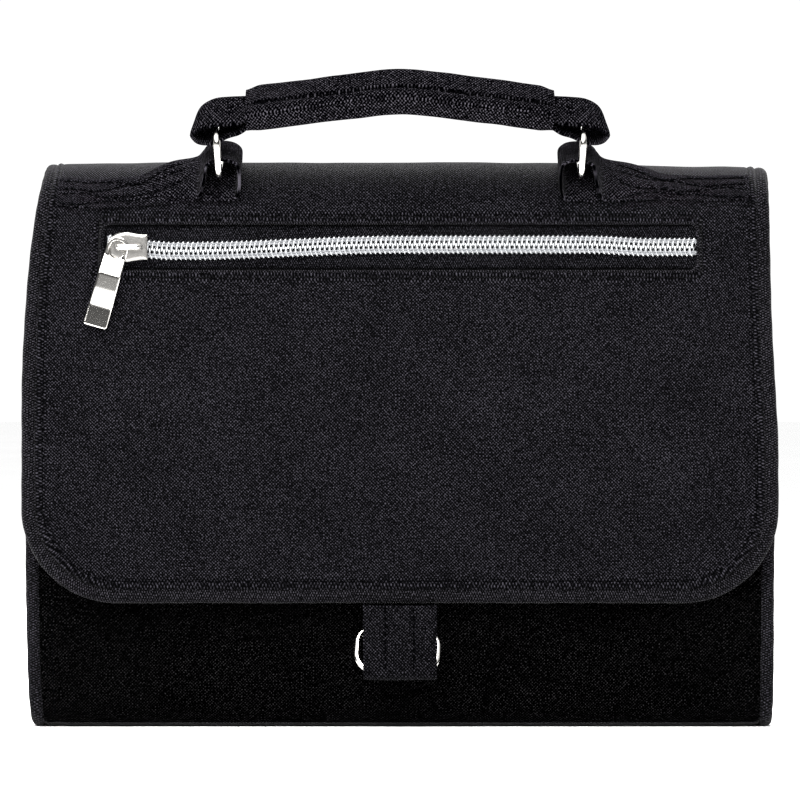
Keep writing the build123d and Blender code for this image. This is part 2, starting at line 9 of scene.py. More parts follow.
import bmesh
import bpy
import numpy as np
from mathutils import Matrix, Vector


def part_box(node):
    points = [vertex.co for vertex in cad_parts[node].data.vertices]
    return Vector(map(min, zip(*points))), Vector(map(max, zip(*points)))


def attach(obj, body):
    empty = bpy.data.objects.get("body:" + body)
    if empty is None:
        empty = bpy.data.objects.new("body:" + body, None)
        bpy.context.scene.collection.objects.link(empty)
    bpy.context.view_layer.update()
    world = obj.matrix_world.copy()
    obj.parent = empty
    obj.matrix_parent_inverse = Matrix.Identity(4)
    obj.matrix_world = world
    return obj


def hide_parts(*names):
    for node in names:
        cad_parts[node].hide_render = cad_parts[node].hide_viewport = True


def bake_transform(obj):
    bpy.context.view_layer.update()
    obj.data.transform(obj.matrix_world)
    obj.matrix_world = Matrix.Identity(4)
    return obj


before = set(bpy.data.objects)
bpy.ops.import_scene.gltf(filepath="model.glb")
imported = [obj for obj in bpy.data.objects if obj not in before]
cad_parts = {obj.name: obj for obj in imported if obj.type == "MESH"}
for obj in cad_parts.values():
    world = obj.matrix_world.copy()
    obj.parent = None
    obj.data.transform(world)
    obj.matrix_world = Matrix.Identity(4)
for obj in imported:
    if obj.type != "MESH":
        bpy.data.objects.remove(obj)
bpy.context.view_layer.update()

MM = 0.001

# Sizes of the CAD source that the soft pieces follow
half_width = 120.0
crown_height = 180.0
fold_z = 162.0
front_y = -48.8
back_y = 39.0
shoulder = 18.0
body_half_depth = 39.0
mouth_z = 158.0
base_bend = 9.0
flap_thickness = 5.4
welt_x = 117.5
welt_y = -46.1
welt_radius = 2.55
hem_z = 42.5
hem_corner = 27.5
body_welt_x = 116.9
body_welt_radius = 2.35
zip_z = 152.8
window_half_length = 94.5
window_half_height = 7.7
ring_x = 57.5
lean = radians(20.0)
lower_bar = np.array([0.0, -44.048, 179.686])
ring_middle = np.array([0.0, -46.493, 186.404])
closure_bar = np.array([0.0, -41.9, 31.5])
closure_lower_bar = np.array([0.0, -47.943, 18.54])

along = np.array([1.0, 0.0, 0.0])
bar_way = np.array([0.0, cos(lean), sin(lean)])
lift_way = np.array([0.0, -sin(lean), cos(lean)])

# How far the bag's soft sides draw in above and below its middle
waist_z = 92.0
top_span = 88.0
left_draw = 8.6
left_power = 2.4
right_draw = 3.5
left_foot = 2.2
right_foot = 0.6
foot_power = 5.0
draw_power = 6.0
right_sag = 1.5  # of the crown towards its ends
left_sag = 0.5


def smooth(low, high, value):
    """A soft step from 0 at low to 1 at high."""
    t = np.clip((value - low) / (high - low), 0.0, 1.0)
    return t * t * (3.0 - 2.0 * t)


def bell(value, width):
    """A soft hump of height 1 about a value of zero."""
    return np.exp(-((value / width) ** 2))


def drawn_in(points):
    """Points in the CAD's box, with the bag's sides drawn in as the real ones are."""
    moved = np.array(points, float)
    x, z = moved[..., 0], moved[..., 2]
    above = np.clip((z - waist_z) / top_span, 0.0, 1.0)
    below = np.clip((waist_z - z) / waist_z, 0.0, 1.0) ** foot_power
    left = left_draw * above**left_power + left_foot * below
    right = right_draw * (1.0 - (1.0 - above) ** 2) + right_foot * below
    share = np.clip(np.abs(x) / half_width, 0.0, 1.0) ** draw_power
    moved[..., 0] = x + share * np.where(x < 0, left, -right)
    sag = right_sag * smooth(45, 95, x) + left_sag * smooth(-60, -100, x)
    moved[..., 2] = z - sag * smooth(164, 178, z)
    return moved


def ripple(a, b, size, seed=0.0):
    """A smooth uneven height between about -1 and 1 with bumps of about a size."""
    u, v = a / size, b / size
    waves = np.sin(1.7 * u + 0.6 * v + seed) + np.sin(-0.8 * u + 1.9 * v + 2.1 + 1.3 * seed)
    waves = waves + np.sin(2.9 * u + 1.1 * v + 4.2 * seed) * np.sin(0.4 * u - 2.3 * v + seed)
    return waves / 3.0



ends = ((-1, "left"), (1, "right"))
square = ((-1, -1), (1, -1), (1, 1), (-1, 1))  # signs of four corners in turn


def unit(vectors):
    """Vectors at length 1."""
    return vectors / np.maximum(np.linalg.norm(vectors, axis=-1, keepdims=True), 1e-9)


def stacked(*values):
    """Points from coordinates whose shapes match."""
    return np.stack(np.broadcast_arrays(*values), -1)


def runs_along(path):
    """The run along a path at each of its points."""
    return np.concatenate([[0.0], np.cumsum(np.linalg.norm(np.diff(path, axis=0), axis=1))])


# Mesh making
def make_object(name, points, faces, uvs, material, body, nodes="", sharp=50.0):
    """A smooth-shaded mesh from points in millimetres, in place of CAD nodes.
    """
    mesh = bpy.data.meshes.new(name)
    mesh.from_pydata((np.asarray(points) * MM).tolist(), [], faces)
    layer = mesh.uv_layers.new(name="weave")
    order = np.empty(len(mesh.loops), np.int32)
    mesh.loops.foreach_get("vertex_index", order)
    layer.data.foreach_set("uv", (np.asarray(uvs)[order] * MM).astype(np.float32).ravel())
    mesh.validate()
    mesh.shade_smooth()
    mesh.set_sharp_from_angle(angle=radians(sharp))
    mesh.materials.append(material)
    piece = bpy.data.objects.new(name, mesh)
    bpy.context.scene.collection.objects.link(piece)
    if isinstance(body, str):
        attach(piece, body)
    else:
        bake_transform(piece)
    if nodes:
        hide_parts(*nodes.split())
    return piece


def grid_normals(middle):
    """Unit normals of a grid of points."""
    return unit(np.cross(np.gradient(middle, axis=0), np.gradient(middle, axis=1)))


def shell(name, middle, thickness, material, body, nodes="", uv=None, kept=None, sharp=50.0):
    """A closed sheet of a thickness round a grid of middle points, with cells left out."""
    rows, columns = middle.shape[:2]
    half = grid_normals(middle) * np.broadcast_to(np.asarray(thickness) / 2, (rows, columns))[..., None]
    points = np.concatenate([(middle + half).reshape(-1, 3), (middle - half).reshape(-1, 3)])
    if uv is None:
        a, b = (
            np.concatenate([[0.0], np.cumsum(np.linalg.norm(np.diff(middle, axis=k), axis=2).mean(1 - k))])
            for k in (0, 1)
        )
        uv = stacked(a[:, None], b)
    kept = np.ones((rows - 1, columns - 1), bool) if kept is None else kept
    framed = np.pad(kept, 1)
    count = rows * columns
    faces = []
    for i, j in np.argwhere(kept).tolist():
        a = i * columns + j
        corners = (a, a + columns, a + columns + 1, a + 1)
        faces += [corners, tuple(count + c for c in reversed(corners))]
        for k, n, first, second in (
            (i, j + 1, 0, 3), (i + 2, j + 1, 2, 1), (i + 1, j, 1, 0), (i + 1, j + 2, 3, 2)
        ):
            if not framed[k, n]:
                a, b = corners[first], corners[second]
                faces.append((a, b, count + b, count + a))
    used = sorted({c for face in faces for c in face})
    place = {c: k for k, c in enumerate(used)}
    faces = [tuple(place[c] for c in face) for face in faces]
    uvs = np.tile(uv.reshape(-1, 2), (2, 1))[used]
    return make_object(name, points[used], faces, uvs, material, body, nodes, sharp)


def tube(
    name, path, binormal, wide, tall, material, body, nodes="", sides=18, closed=False,
    section=None, swell=0.0, dent=(0.0, 0.0), around=None
):
    """A tube round a flat path: wide along the binormal and tall across it, capped if it is open.

    A section is unit places (side, up) in place of a circle, swell is a share of the size,
    dent is (side, up) millimetres to add and around is the weave's run round the section.
    """
    count = len(path)
    heading = np.roll(path, -1, 0) - np.roll(path, 1, 0) if closed else np.gradient(path, axis=0)
    binormal = np.broadcast_to(np.asarray(binormal, float), path.shape)
    upward = unit(np.cross(heading, binormal))
    if section is None:
        angle = np.linspace(0, 2 * pi, sides, endpoint=False)
        section = stacked(np.cos(angle), np.sin(angle))
    sides = len(section)
    wide, tall = np.broadcast_to(wide, count), np.broadcast_to(tall, count)
    side_out = wide[:, None] * section[:, 0] * (1 + swell) + dent[0]
    up_out = tall[:, None] * section[:, 1] * (1 + swell) + dent[1]
    ring = path[:, None] + binormal[:, None] * side_out[..., None] + upward[:, None] * up_out[..., None]
    points = ring.reshape(-1, 3)
    if around is None:
        around = np.arange(sides) * 2 * pi / sides * (wide.mean() + tall.mean()) / 2
    uvs = stacked(runs_along(path)[:, None], around).reshape(-1, 2)
    i, j = np.divmod(np.arange((count if closed else count - 1) * sides), sides)
    k, n = (i + 1) % count, (j + 1) % sides
    faces = np.stack([i * sides + j, i * sides + n, k * sides + n, k * sides + j], -1).tolist()
    if not closed:
        cap, last = count * sides, (count - 1) * sides
        points = np.concatenate([points, path[[0, -1]]])
        uvs = np.concatenate([uvs, uvs[[0, -1]]])
        for j in range(sides):
            n = (j + 1) % sides
            faces += [(cap, n, j), (cap + 1, last + j, last + n)]
    return make_object(name, points, faces, uvs, material, body, nodes, 60.0)


def stitches(name, rows, body, pitch=3.0, length=2.2, radius=0.27):
    """Sewn stitches along rows of (points, normals), each a thread that dives in at both ends."""
    points, faces, uvs = [], [], []
    sides = 6
    angle = np.linspace(0, 2 * pi, sides, endpoint=False)
    stations = np.array([-0.5, -0.36, -0.12, 0.12, 0.36, 0.5])
    heights = np.array([-1.3, 0.1, 0.62, 0.62, 0.1, -1.3])
    widths = np.array([0.55, 0.95, 1.0, 1.0, 0.95, 0.55])
    for row in rows:
        run = runs_along(row[0])
        amount = max(int(run[-1] / pitch), 1)
        for k in range(amount):
            at = (k + 0.5) * run[-1] / amount + stations * length
            centre, out = (stacked(*(np.interp(at, run, line[:, i]) for i in range(3))) for line in row)
            out = unit(out)
            side = unit(np.cross(centre[-1] - centre[0], out))
            turned = side[:, None] * np.cos(angle)[:, None] + out[:, None] * np.sin(angle)[:, None]
            ring = (centre + out * (heights * radius)[:, None])[:, None]
            base = len(points)
            points.extend((ring + turned * (radius * widths)[:, None, None]).reshape(-1, 3))
            uvs.extend(stacked(at[:, None], angle * radius).reshape(-1, 2))
            for i in range(len(stations) - 1):
                for j in range(sides):
                    a, n = base + i * sides, (j + 1) % sides
                    faces.append((a + j, a + sides + j, a + sides + n, a + n))
            end = base + (len(stations) - 1) * sides
            faces += [tuple(range(base, base + sides)), tuple(range(end + sides - 1, end - 1, -1))]
    make_object(name, points, faces, uvs, black_thread, body, sharp=80.0)


def rounded_path(corners, radius, closed=False, step=1.5, bend_steps=12):
    """Points along straight runs between corners whose bends have a radius."""
    corners = [np.asarray(c, float) for c in corners]
    count = len(corners)
    bends = []
    for i, corner in enumerate(corners):
        if not closed and i in (0, count - 1):
            bends.append([corner])
            continue
        before, after = unit(corners[i - 1] - corner), unit(corners[(i + 1) % count] - corner)
        half = np.arccos(np.clip(before @ after, -1, 1)) / 2
        reach = radius / np.tan(half)
        middle = corner + unit(before + after) * radius / np.sin(half)
        start, stop = corner + before * reach - middle, corner + after * reach - middle
        turn = pi - 2 * half
        bends.append(
            [
                middle + (start * np.sin((1 - t) * turn) + stop * np.sin(t * turn)) / np.sin(turn)
                for t in np.linspace(0, 1, bend_steps)
            ]
        )
    points = []
    for i, bend in enumerate(bends):
        points.extend(bend)
        if closed or i < count - 1:
            first, second = bend[-1], bends[(i + 1) % count][0]
            parts = max(int(np.linalg.norm(second - first) / step), 1)
            points.extend(first + (second - first) * k / parts for k in range(1, parts))
    return np.array(points)


def u_path(start, onward, across, radius, **steps):
    """A path that goes onward, across and back again, with rounded corners."""
    start, onward, across = (np.array(value, float) for value in (start, onward, across))
    return rounded_path([start, start + onward, start + onward + across, start + across], radius, **steps)


def curve_through(controls, count):
    """A smooth run of points through a few control points."""
    controls = np.asarray(controls, float)
    padded = np.concatenate([[2 * controls[0] - controls[1]], controls, [2 * controls[-1] - controls[-2]]])
    value = np.linspace(0, len(controls) - 1, count)
    i = np.minimum(value.astype(int), len(controls) - 2)
    t = (value - i)[:, None]
    a, b, c, d = (padded[i + k] for k in range(4))
    return 0.5 * (2 * b + (c - a) * t + (2 * a - 5 * b + 4 * c - d) * t**2 + (3 * b - a - 3 * c + d) * t**3)


def spaced(start, *legs):
    """Even steps from a start over legs of (end, number of steps)."""
    values = np.array([start])
    for end, steps in legs:
        values = np.concatenate([values, np.linspace(values[-1], end, steps + 1)[1:]])
    return values



# Materials
class Tree:
    """A node tree with short ways to add nodes and feed their inputs with numbers or sockets."""

    def __init__(self, tree):
        self.nodes, self.links = tree.nodes, tree.links

    def feed(self, node, values):
        """Sets or links inputs of a node."""
        for key, value in values.items():
            if isinstance(value, bpy.types.NodeSocket):
                self.links.new(value, node.inputs[key])
            else:
                node.inputs[key].default_value = value

    def add(self, kind, values, output=0, **settings):
        """An output of a new node."""
        node = self.nodes.new("ShaderNode" + kind)
        for key, value in settings.items():
            setattr(node, key, value)
        self.feed(node, values)
        return node.outputs[output]

    def math(self, operation, *values):
        """A math node's result."""
        return self.add("Math", dict(enumerate(values)), operation=operation)

    def noise(self, place, scale, detail=2.0):
        """A noise texture's value."""
        return self.add("TexNoise", {"Vector": place, "Scale": scale, "Detail": detail}, "Fac")

    def ramp(self, value, stops):
        """A colour ramp through (position, colour) stops."""
        colour = self.add("ValToRGB", {"Fac": value}, "Color")
        elements = colour.node.color_ramp.elements
        while len(elements) < len(stops):
            elements.new(0.5)
        for element, (position, shade) in zip(elements, stops):
            element.position = position
            element.color = (*shade, 1.0)
        return colour

    def bump(self, height, strength, distance, **below):
        """A bump node's normal, over the Normal below it."""
        values = {"Height": height, "Strength": strength, "Distance": distance, **below}
        return self.add("Bump", values, "Normal")


def finish_of(name, values_of):
    """A node material whose shader gets the values that a function makes in its tree."""
    material = bpy.data.materials.new(name)
    material.use_nodes = True
    tree = Tree(material.node_tree)
    tree.feed(tree.nodes["Principled BSDF"], values_of(tree))
    return material


def fabric(name, dark, light, pitch=0.74, slant=1.0, bump=0.6, sheen=0.05, base=0.42, gloss=0.01):
    """Twill: slanted ridges of a pitch, broken into yarns of uneven brightness."""

    def values_of(tree):
        place = tree.add("UVMap", {}, "UV", uv_map="weave")
        x = tree.add("SeparateXYZ", {0: place}, "X")
        turn = 2 * pi / (pitch * MM) / (1 + slant**2) ** 0.5

        def ridges(sign, share):
            leaning = tree.math("MULTIPLY_ADD", x.node.outputs["Y"], sign * slant, x)
            return tree.math("SINE", tree.math("MULTIPLY", leaning, turn * share))

        fleck, grain, patch = (
            tree.math("SUBTRACT", tree.noise(place, scale, detail), 0.5)
            for scale, detail in ((1800.0, 1.0), (420.0, 2.0), (45.0, 3.0))
        )
        height = tree.math("MULTIPLY_ADD", ridges(-1, 0.98), 0.8, ridges(1, 1.0))
        tone = base
        for part, share in ((height, 0.24), (fleck, 1.7), (grain, 0.3), (patch, 0.2)):
            tone = tree.math("MULTIPLY_ADD", part, share, tone)
        middle = tuple(0.9 * a + 0.1 * b for a, b in zip(dark, light))
        coarse = tree.bump(grain, 0.25, 0.3 * MM)
        return {
            "Base Color": tree.ramp(tone, [(0.34, dark), (0.56, middle), (1.0, light)]),
            "Roughness": tree.math("MULTIPLY_ADD", fleck, 0.3, 0.75),
            "Normal": tree.bump(height, bump, 0.12 * MM, Normal=coarse),
            "Specular IOR Level": gloss,
            "Sheen Weight": sheen,
            "Sheen Roughness": 0.35,
        }

    return finish_of(name, values_of)


def thread(name, dark, light):
    """Sewing thread with a fine twist."""

    def values_of(tree):
        place = tree.add("UVMap", {}, "UV", uv_map="weave")
        values = {"Vector": place, "Scale": 900.0, "Distortion": 1.0}
        wave = tree.add("TexWave", values, "Fac", bands_direction="DIAGONAL")
        return {
            "Base Color": tree.ramp(wave, [(0.1, dark), (0.9, light)]),
            "Normal": tree.bump(wave, 0.4, 0.1 * MM),
            "Roughness": 0.85,
            "Specular IOR Level": 0.0,
        }

    return finish_of(name, values_of)


def metal(name, colour, rough, brushed=0.01, uneven=0.05):
    """Plated metal with faint scratches and uneven polish."""

    def values_of(tree):
        place = tree.add("TexCoord", {}, "Object")
        stretched = tree.add("Mapping", {"Vector": place, "Scale": (3.0, 1.0, 14.0)}, "Vector")
        fine = tree.noise(stretched, 900.0, 3.0)
        worn = tuple(0.86 * c for c in colour)
        return {
            "Base Color": tree.ramp(tree.noise(place, 160.0), [(0.3, colour), (0.75, worn)]),
            "Roughness": tree.math("MULTIPLY_ADD", fine, uneven, rough),
            "Normal": tree.bump(fine, brushed, 0.05 * MM),
            "Metallic": 1.0,
        }

    return finish_of(name, values_of)


def speckled(name, dark, light, grain, spread=(0.3, 0.8), rough=0.6, detail=3.0, bump=0.2):
    """A dull surface with a fine grain, such as moulded plastic or paint."""

    def values_of(tree):
        speck = tree.noise(tree.add("TexCoord", {}, "Object"), grain, detail)
        values = {"Base Color": tree.ramp(speck, list(zip(spread, (dark, light)))), "Roughness": rough}
        if bump:
            values["Normal"] = tree.bump(speck, bump, 0.1 * MM)
        return values

    return finish_of(name, values_of)


black, near_black = (0.0, 0.0, 0.0), (0.0, 0.0, 0.0001)
twill = fabric("twill", near_black, (0.031, 0.0292, 0.036), sheen=0.06, base=0.385)
# A darker copy of the twill with less sheen and gloss: painted shade for the body's front panel
body_twill_painted_shade = fabric("body_twill_painted_shade", black, (0.019, 0.018, 0.019), sheen=0.0, base=0.24, gloss=0.001)
# A darker copy of the twill: painted shade for the gussets, between the flap's tone and the body front's
side_twill_painted_shade = fabric("side_twill_painted_shade", black, (0.016, 0.015, 0.0175), sheen=0.02, base=0.36)
welt_cloth = fabric("welt_cloth", (0.0002, 0.0002, 0.0003), (0.032, 0.03, 0.036), slant=-0.45)
lining_cloth = fabric("lining_cloth", (0.001, 0.001, 0.0012), (0.016, 0.016, 0.018), 0.5, bump=0.25)
strap_cloth = fabric("strap_cloth", near_black, (0.028, 0.0265, 0.032), sheen=0.02, base=0.38)
tape_cloth = fabric("tape_cloth", (0.0001, 0.0001, 0.0002), (0.025, 0.024, 0.029), 0.66, slant=0.6)
net_cloth = fabric("net_cloth", (0.0005, 0.0005, 0.0005), (0.012, 0.012, 0.013), 0.4, bump=0.2)
# The third of these is a lighter copy of the grip cloth: painted light on the sleeve's front and back walls
webbing, grip_cloth, grip_walls_painted_light = (
    fabric(name, near_black, light, 0.78, bump=bump, sheen=sheen, base=base, gloss=0.0)
    for name, light, bump, sheen, base in (
        ("webbing", (0.046, 0.043, 0.052), 0.8, 0.01, 0.38),
        ("grip_cloth", (0.037, 0.0345, 0.041), 0.6, 0.0, 0.35),
        ("grip_walls_painted_light", (0.056, 0.052, 0.062), 0.6, 0.0, 0.38),
    )
)
black_thread = thread("black_thread", black, (0.0012, 0.0012, 0.0015))
nickel = metal("nickel", (0.7, 0.68, 0.645), 0.09)
# A darker, rougher copy of the nickel for the slider: partly a duller finish, partly painted shade under the
# bridge and puller
dull_slider_metal_painted_shade = metal("dull_slider_metal_painted_shade", (0.27, 0.262, 0.25), 0.24, 0.03, 0.1)
silver_coil = metal("silver_coil", (0.5, 0.51, 0.52), 0.3, 0.02, 0.16)
silver_thread = speckled("silver_thread", (0.06, 0.062, 0.066), (0.2, 0.205, 0.215), 1400.0)
stiff_sheet = speckled("stiff_sheet", (0.04,) * 3, (0.09,) * 3, 700.0)
hook_plastic = speckled("hook_plastic", (0.008,) * 3, (0.02,) * 3, 900.0)

# Side profile of the cover, measured along the cloth from the front fold
arc_run = shoulder * pi / 2
top_run = back_y - front_y - 2 * shoulder
back_start = 2 * arc_run + top_run


def cover_line(run, depth=0.0):
    """Places and outward directions in Y and Z at runs along the cover, at a depth in it."""
    second = run - arc_run - top_run
    angle = pi - np.clip(run / shoulder, 0, pi / 2) - np.clip(second / shoulder, 0, pi / 2)
    out_y, out_z = np.cos(angle), np.sin(angle)
    y = front_y + shoulder + np.clip(run - arc_run, 0, top_run) + out_y * (shoulder - depth)
    z = fold_z + np.clip(run, None, 0) - np.clip(run - back_start, 0, None) + out_z * (shoulder - depth)
    return y, z, out_y, out_z


def cover_grid(runs, shares, half, depth, lift):
    """A grid of points on the cover from runs along it and shares of its half width."""
    y, z, out_y, out_z = cover_line(runs, depth)
    x = shares[:, None] * half
    raised = lift(x, runs)
    return drawn_in(stacked(x, y + out_y * raised, z + out_z * raised)), stacked(x, runs)


# Flap: one cloth from its hem up over the front shoulder to the middle of the crown
panel_half = welt_x - 1.2
panel_low = hem_z + 1.2 - fold_z
corner_run = panel_low + hem_corner
crown_middle = arc_run + 0.55 * top_run
window_runs = (zip_z - window_half_height - fold_z, zip_z + window_half_height - fold_z)
corner_angles = np.linspace(pi / 2, 0, 40)
flap_runs = np.concatenate(
    [
        corner_run - hem_corner * np.sin(corner_angles[:-1]),
        spaced(
            corner_run, (window_runs[0] - 4, 72), (window_runs[0], 14), (window_runs[1], 10), (2.5, 13),
            (arc_run, 21), (crown_middle, 13)
        ),
    ]
)
window_share = window_half_length / panel_half
inner_shares = np.linspace(-window_share, window_share, 121)
edge_shares = spaced(window_share, (1 - 6.5 / panel_half, 25), (1, 24))[1:]
flap_shares = np.concatenate([-edge_shares[::-1], inner_shares, edge_shares])


def panel_half_width(runs):
    """Half width of the flap at runs along it, with its rounded lower corners."""
    below = np.clip(corner_run - runs, 0, hem_corner)
    return panel_half - hem_corner + np.sqrt(hem_corner**2 - below**2)


def edge_distance(x, run):
    """Distance from the flap's rounded outline."""
    below = np.clip(corner_run - run, 0, None)
    side = np.clip(np.abs(x) - (panel_half - hem_corner), 0, None)
    rounded = hem_corner - np.hypot(below, side)
    return np.where(run < corner_run, rounded, panel_half - np.abs(x))


seam_in = 3.1  # of the topstitching from the flap's outline


def flap_lift(x, run):
    """How far the flap's cloth stands proud: a soft belly, a sewn groove and slight unevenness."""
    edge = edge_distance(x, run)
    belly = 1.1 * smooth(0, 50, edge) * smooth(-16, -55, run)
    groove = -0.75 * bell(edge - seam_in, 0.55)
    roll = 0.25 * bell(edge - 1.9, 0.6) - 2.0 * (1 - smooth(0, 1.9, edge)) ** 1.5
    turned = -0.9 * smooth(crown_middle - 1.6, crown_middle, run)
    reach = np.hypot(
        np.clip(np.abs(x) - window_half_length, 0, None),
        np.clip(np.abs(run - (zip_z - fold_z)) - window_half_height, 0, None),
    )
    lip = 0.35 * bell(reach - 0.7, 0.5) - 1.5 * bell(reach - 1.95, 0.6)
    inside = np.where(reach > 0, lip, 0.0)
    uneven = 0.28 * ripple(x, run, 24.0, 0.4) + 0.1 * ripple(x, run, 8.0, 1.7)
    return belly + groove + roll + turned + inside + uneven * smooth(2, 12, edge)


skin = 1.5
front_fold = ("flap", "crown", (0, front_y * MM, (fold_z - 0.6) * MM), (0, front_y * MM, (fold_z + 9) * MM))
back_fold = ("bag", "crown", (0, back_y * MM, (mouth_z - 8) * MM), (0, back_y * MM, (mouth_z + 10) * MM))
flap_half = panel_half_width(flap_runs)
flap_middle, flap_uv = cover_grid(flap_runs, flap_shares, flap_half, skin / 2, flap_lift)
cell_x = (flap_shares[1:] + flap_shares[:-1]) / 2 * panel_half
cell_run = (flap_runs[1:] + flap_runs[:-1]) / 2
in_window = (np.abs(cell_x) < window_half_length)[:, None] & (
    (cell_run > window_runs[0]) & (cell_run < window_runs[1])
)
shell("flap_cover", flap_middle, skin, twill, front_fold, "flap_outer", flap_uv, ~in_window)

lining_depth = flap_thickness - 0.8
lining_thick = 1.4
lining_middle, lining_uv = cover_grid(
    flap_runs, flap_shares, flap_half, lining_depth, lambda x, run: 0.15 * ripple(x, run, 15.0, 3.0)
)
shell(
    "flap_lining", lining_middle, lining_thick, lining_cloth, front_fold,
    "flap_backing", lining_uv
)

# Back of the crown and the back panel, in one cloth
back_end = back_start + fold_z - base_bend + 2
back_runs = spaced(crown_middle - 7, (arc_run + top_run, 15), (back_start, 21), (back_end, 59))
back_shares = np.sin(np.linspace(-pi / 2, pi / 2, 101))


def back_lift(x, run):
    """The back panel's soft belly and unevenness, with its ends tucked in."""
    edge = panel_half - np.abs(x)
    below = run - back_start
    belly = 1.6 * smooth(0, 45, edge) * smooth(6, 60, below) * smooth(153, 110, below)
    groove = -0.6 * bell(edge - seam_in, 0.9)
    roll = -1.9 * (1 - smooth(0, 2.4, edge)) ** 1.5
    tucked = -1.6 * smooth(crown_middle + 3, crown_middle - 1, run) - 0.9 * smooth(152.5, 154.5, below)
    return belly + groove + roll + tucked + 0.3 * ripple(x, run, 26.0, 5.0) * smooth(2, 12, edge)


back_middle, back_uv = cover_grid(back_runs, back_shares, panel_half, skin / 2, back_lift)
shell("back_cover", back_middle, skin, twill, back_fold, "crown_outer", back_uv)

under_runs = back_runs[back_runs < back_start + fold_z - mouth_z + 6]
under_middle, under_uv = cover_grid(
    under_runs, back_shares, panel_half - 1, lining_depth, lambda x, run: 0
)
shell(
    "crown_lining", under_middle, lining_thick, lining_cloth, back_fold,
    "crown_backing", under_uv
)

# Front panel and base of the body, in one cloth; the front panel takes a darker copy of the twill as painted
# shade
front_run = mouth_z - base_bend
base_run = base_bend * pi / 2
flat_run = 2 * (body_half_depth - base_bend)
body_runs = spaced(
    0.0, (front_run, 59), (front_run + base_run, 11), (front_run + base_run + flat_run, 19),
    (front_run + 2 * base_run + flat_run, 11)
)


def body_line(run):
    """Places and outward directions in Y and Z at runs down the front and under the body."""
    inner = body_half_depth - base_bend
    bend = np.clip((run - front_run) / base_bend, 0, pi / 2)
    second = np.clip((run - front_run - base_run - flat_run) / base_bend, 0, pi / 2)
    down = np.clip(run, 0, front_run)
    under = np.clip(run - front_run - base_run, 0, flat_run)
    y = -inner - base_bend * np.cos(bend) + under + base_bend * np.sin(second)
    z = mouth_z - down - base_bend * np.sin(bend) + base_bend * (1 - np.cos(second))
    out_y = np.where(second > 0, np.sin(second), -np.cos(bend))
    out_z = np.where(second > 0, -np.cos(second), -np.sin(bend))
    return y, z, out_y, out_z


body_half = body_welt_x - 1.0
body_seam_in = 5.0
body_x = np.linspace(-1, 1, 81)[:, None] * body_half
body_edge = body_half - np.abs(body_x)
on_front = smooth(front_run + 4, front_run - 14, body_runs)
body_raised = (
    1.4 * smooth(0, 45, body_edge) * on_front * smooth(0, 40, body_runs)
    - 0.45 * bell(body_edge - body_seam_in, 1.0)
    - 1.5 * (1 - smooth(0, 3.0, body_edge)) ** 1.5
    + 0.35 * ripple(body_x, body_runs, 22.0, 7.0) * smooth(2, 12, body_edge) * on_front
    - 0.9 * smooth(body_runs[-1] - 2, body_runs[-1], body_runs)
) - skin / 2
y, z, out_y, out_z = body_line(body_runs)
body_middle = drawn_in(stacked(body_x, y + out_y * body_raised, z + out_z * body_raised))
body_uv = stacked(body_x, body_runs)
turn_under = int(np.searchsorted(body_runs, front_run + base_run * 0.6))
# The front panel gets the darker copy of the twill as painted shade; the base keeps the twill
for name, part, cloth, node in (
    ("body_cover", slice(0, turn_under + 1), body_twill_painted_shade, "body_shell"),
    ("base_cover", slice(turn_under, None), twill, ""),
):
    shell(name, body_middle[:, part], skin, cloth, "bag", node, body_uv[:, part])

# Welts: cords wrapped in cloth cut on the bias
def welt(name, path, binormal, radius, body, seed, nodes=""):
    """A corded welt with slight wrinkles in its wrapping."""
    sides = 20
    run = np.arange(len(path))[:, None]
    angle = np.linspace(0, 2 * pi, sides, endpoint=False)
    wrinkle = 0.018 * np.sin(run * 0.9 + 3 * angle + seed) + 0.02 * np.sin(run * 0.23 + seed)
    tube(
        name, drawn_in(path), binormal, radius, radius, welt_cloth, body, nodes,
        sides=sides, swell=wrinkle
    )


front_welt_path = u_path(
    (-welt_x, welt_y, fold_z), (0, 0, hem_z - fold_z), (2 * welt_x, 0, 0), hem_corner, bend_steps=24
)
welt("flap_front_welt", front_welt_path, (0, 1, 0), welt_radius, front_fold, 0.0, "flap_welt")
body_inset = body_half_depth - body_welt_radius
for side, end in ends:
    for name, runs, fold, seed, node in (
        ("crown_front_welt", np.linspace(-3, crown_middle, 60), front_fold, 1.0, f"crown_welt_{end}"),
        (
            "crown_back_welt",
            np.linspace(crown_middle - 1, back_start + fold_z - mouth_z + 4, 52),
            back_fold,
            3.0,
            "",
        ),
    ):
        y, z = cover_line(runs, welt_y - front_y)[:2]
        path = stacked(side * welt_x, y, z)
        welt(f"{name}_{end}", path, (1, 0, 0), welt_radius, fold, seed + side, node)
    path = rounded_path(
        [
            (side * body_welt_x, -body_inset, mouth_z),
            (side * body_welt_x, -body_inset, body_welt_radius),
            (side * body_welt_x, body_inset, body_welt_radius),
            (side * body_welt_x, body_inset, mouth_z - 2),
        ],
        base_bend - body_welt_radius,
        bend_steps=14,
    )
    name, node = f"body_corded_welt_{end}", f"body_welt_{end}"
    welt(name, path, (1, 0, 0), body_welt_radius, "bag", 5.0 + side, node)

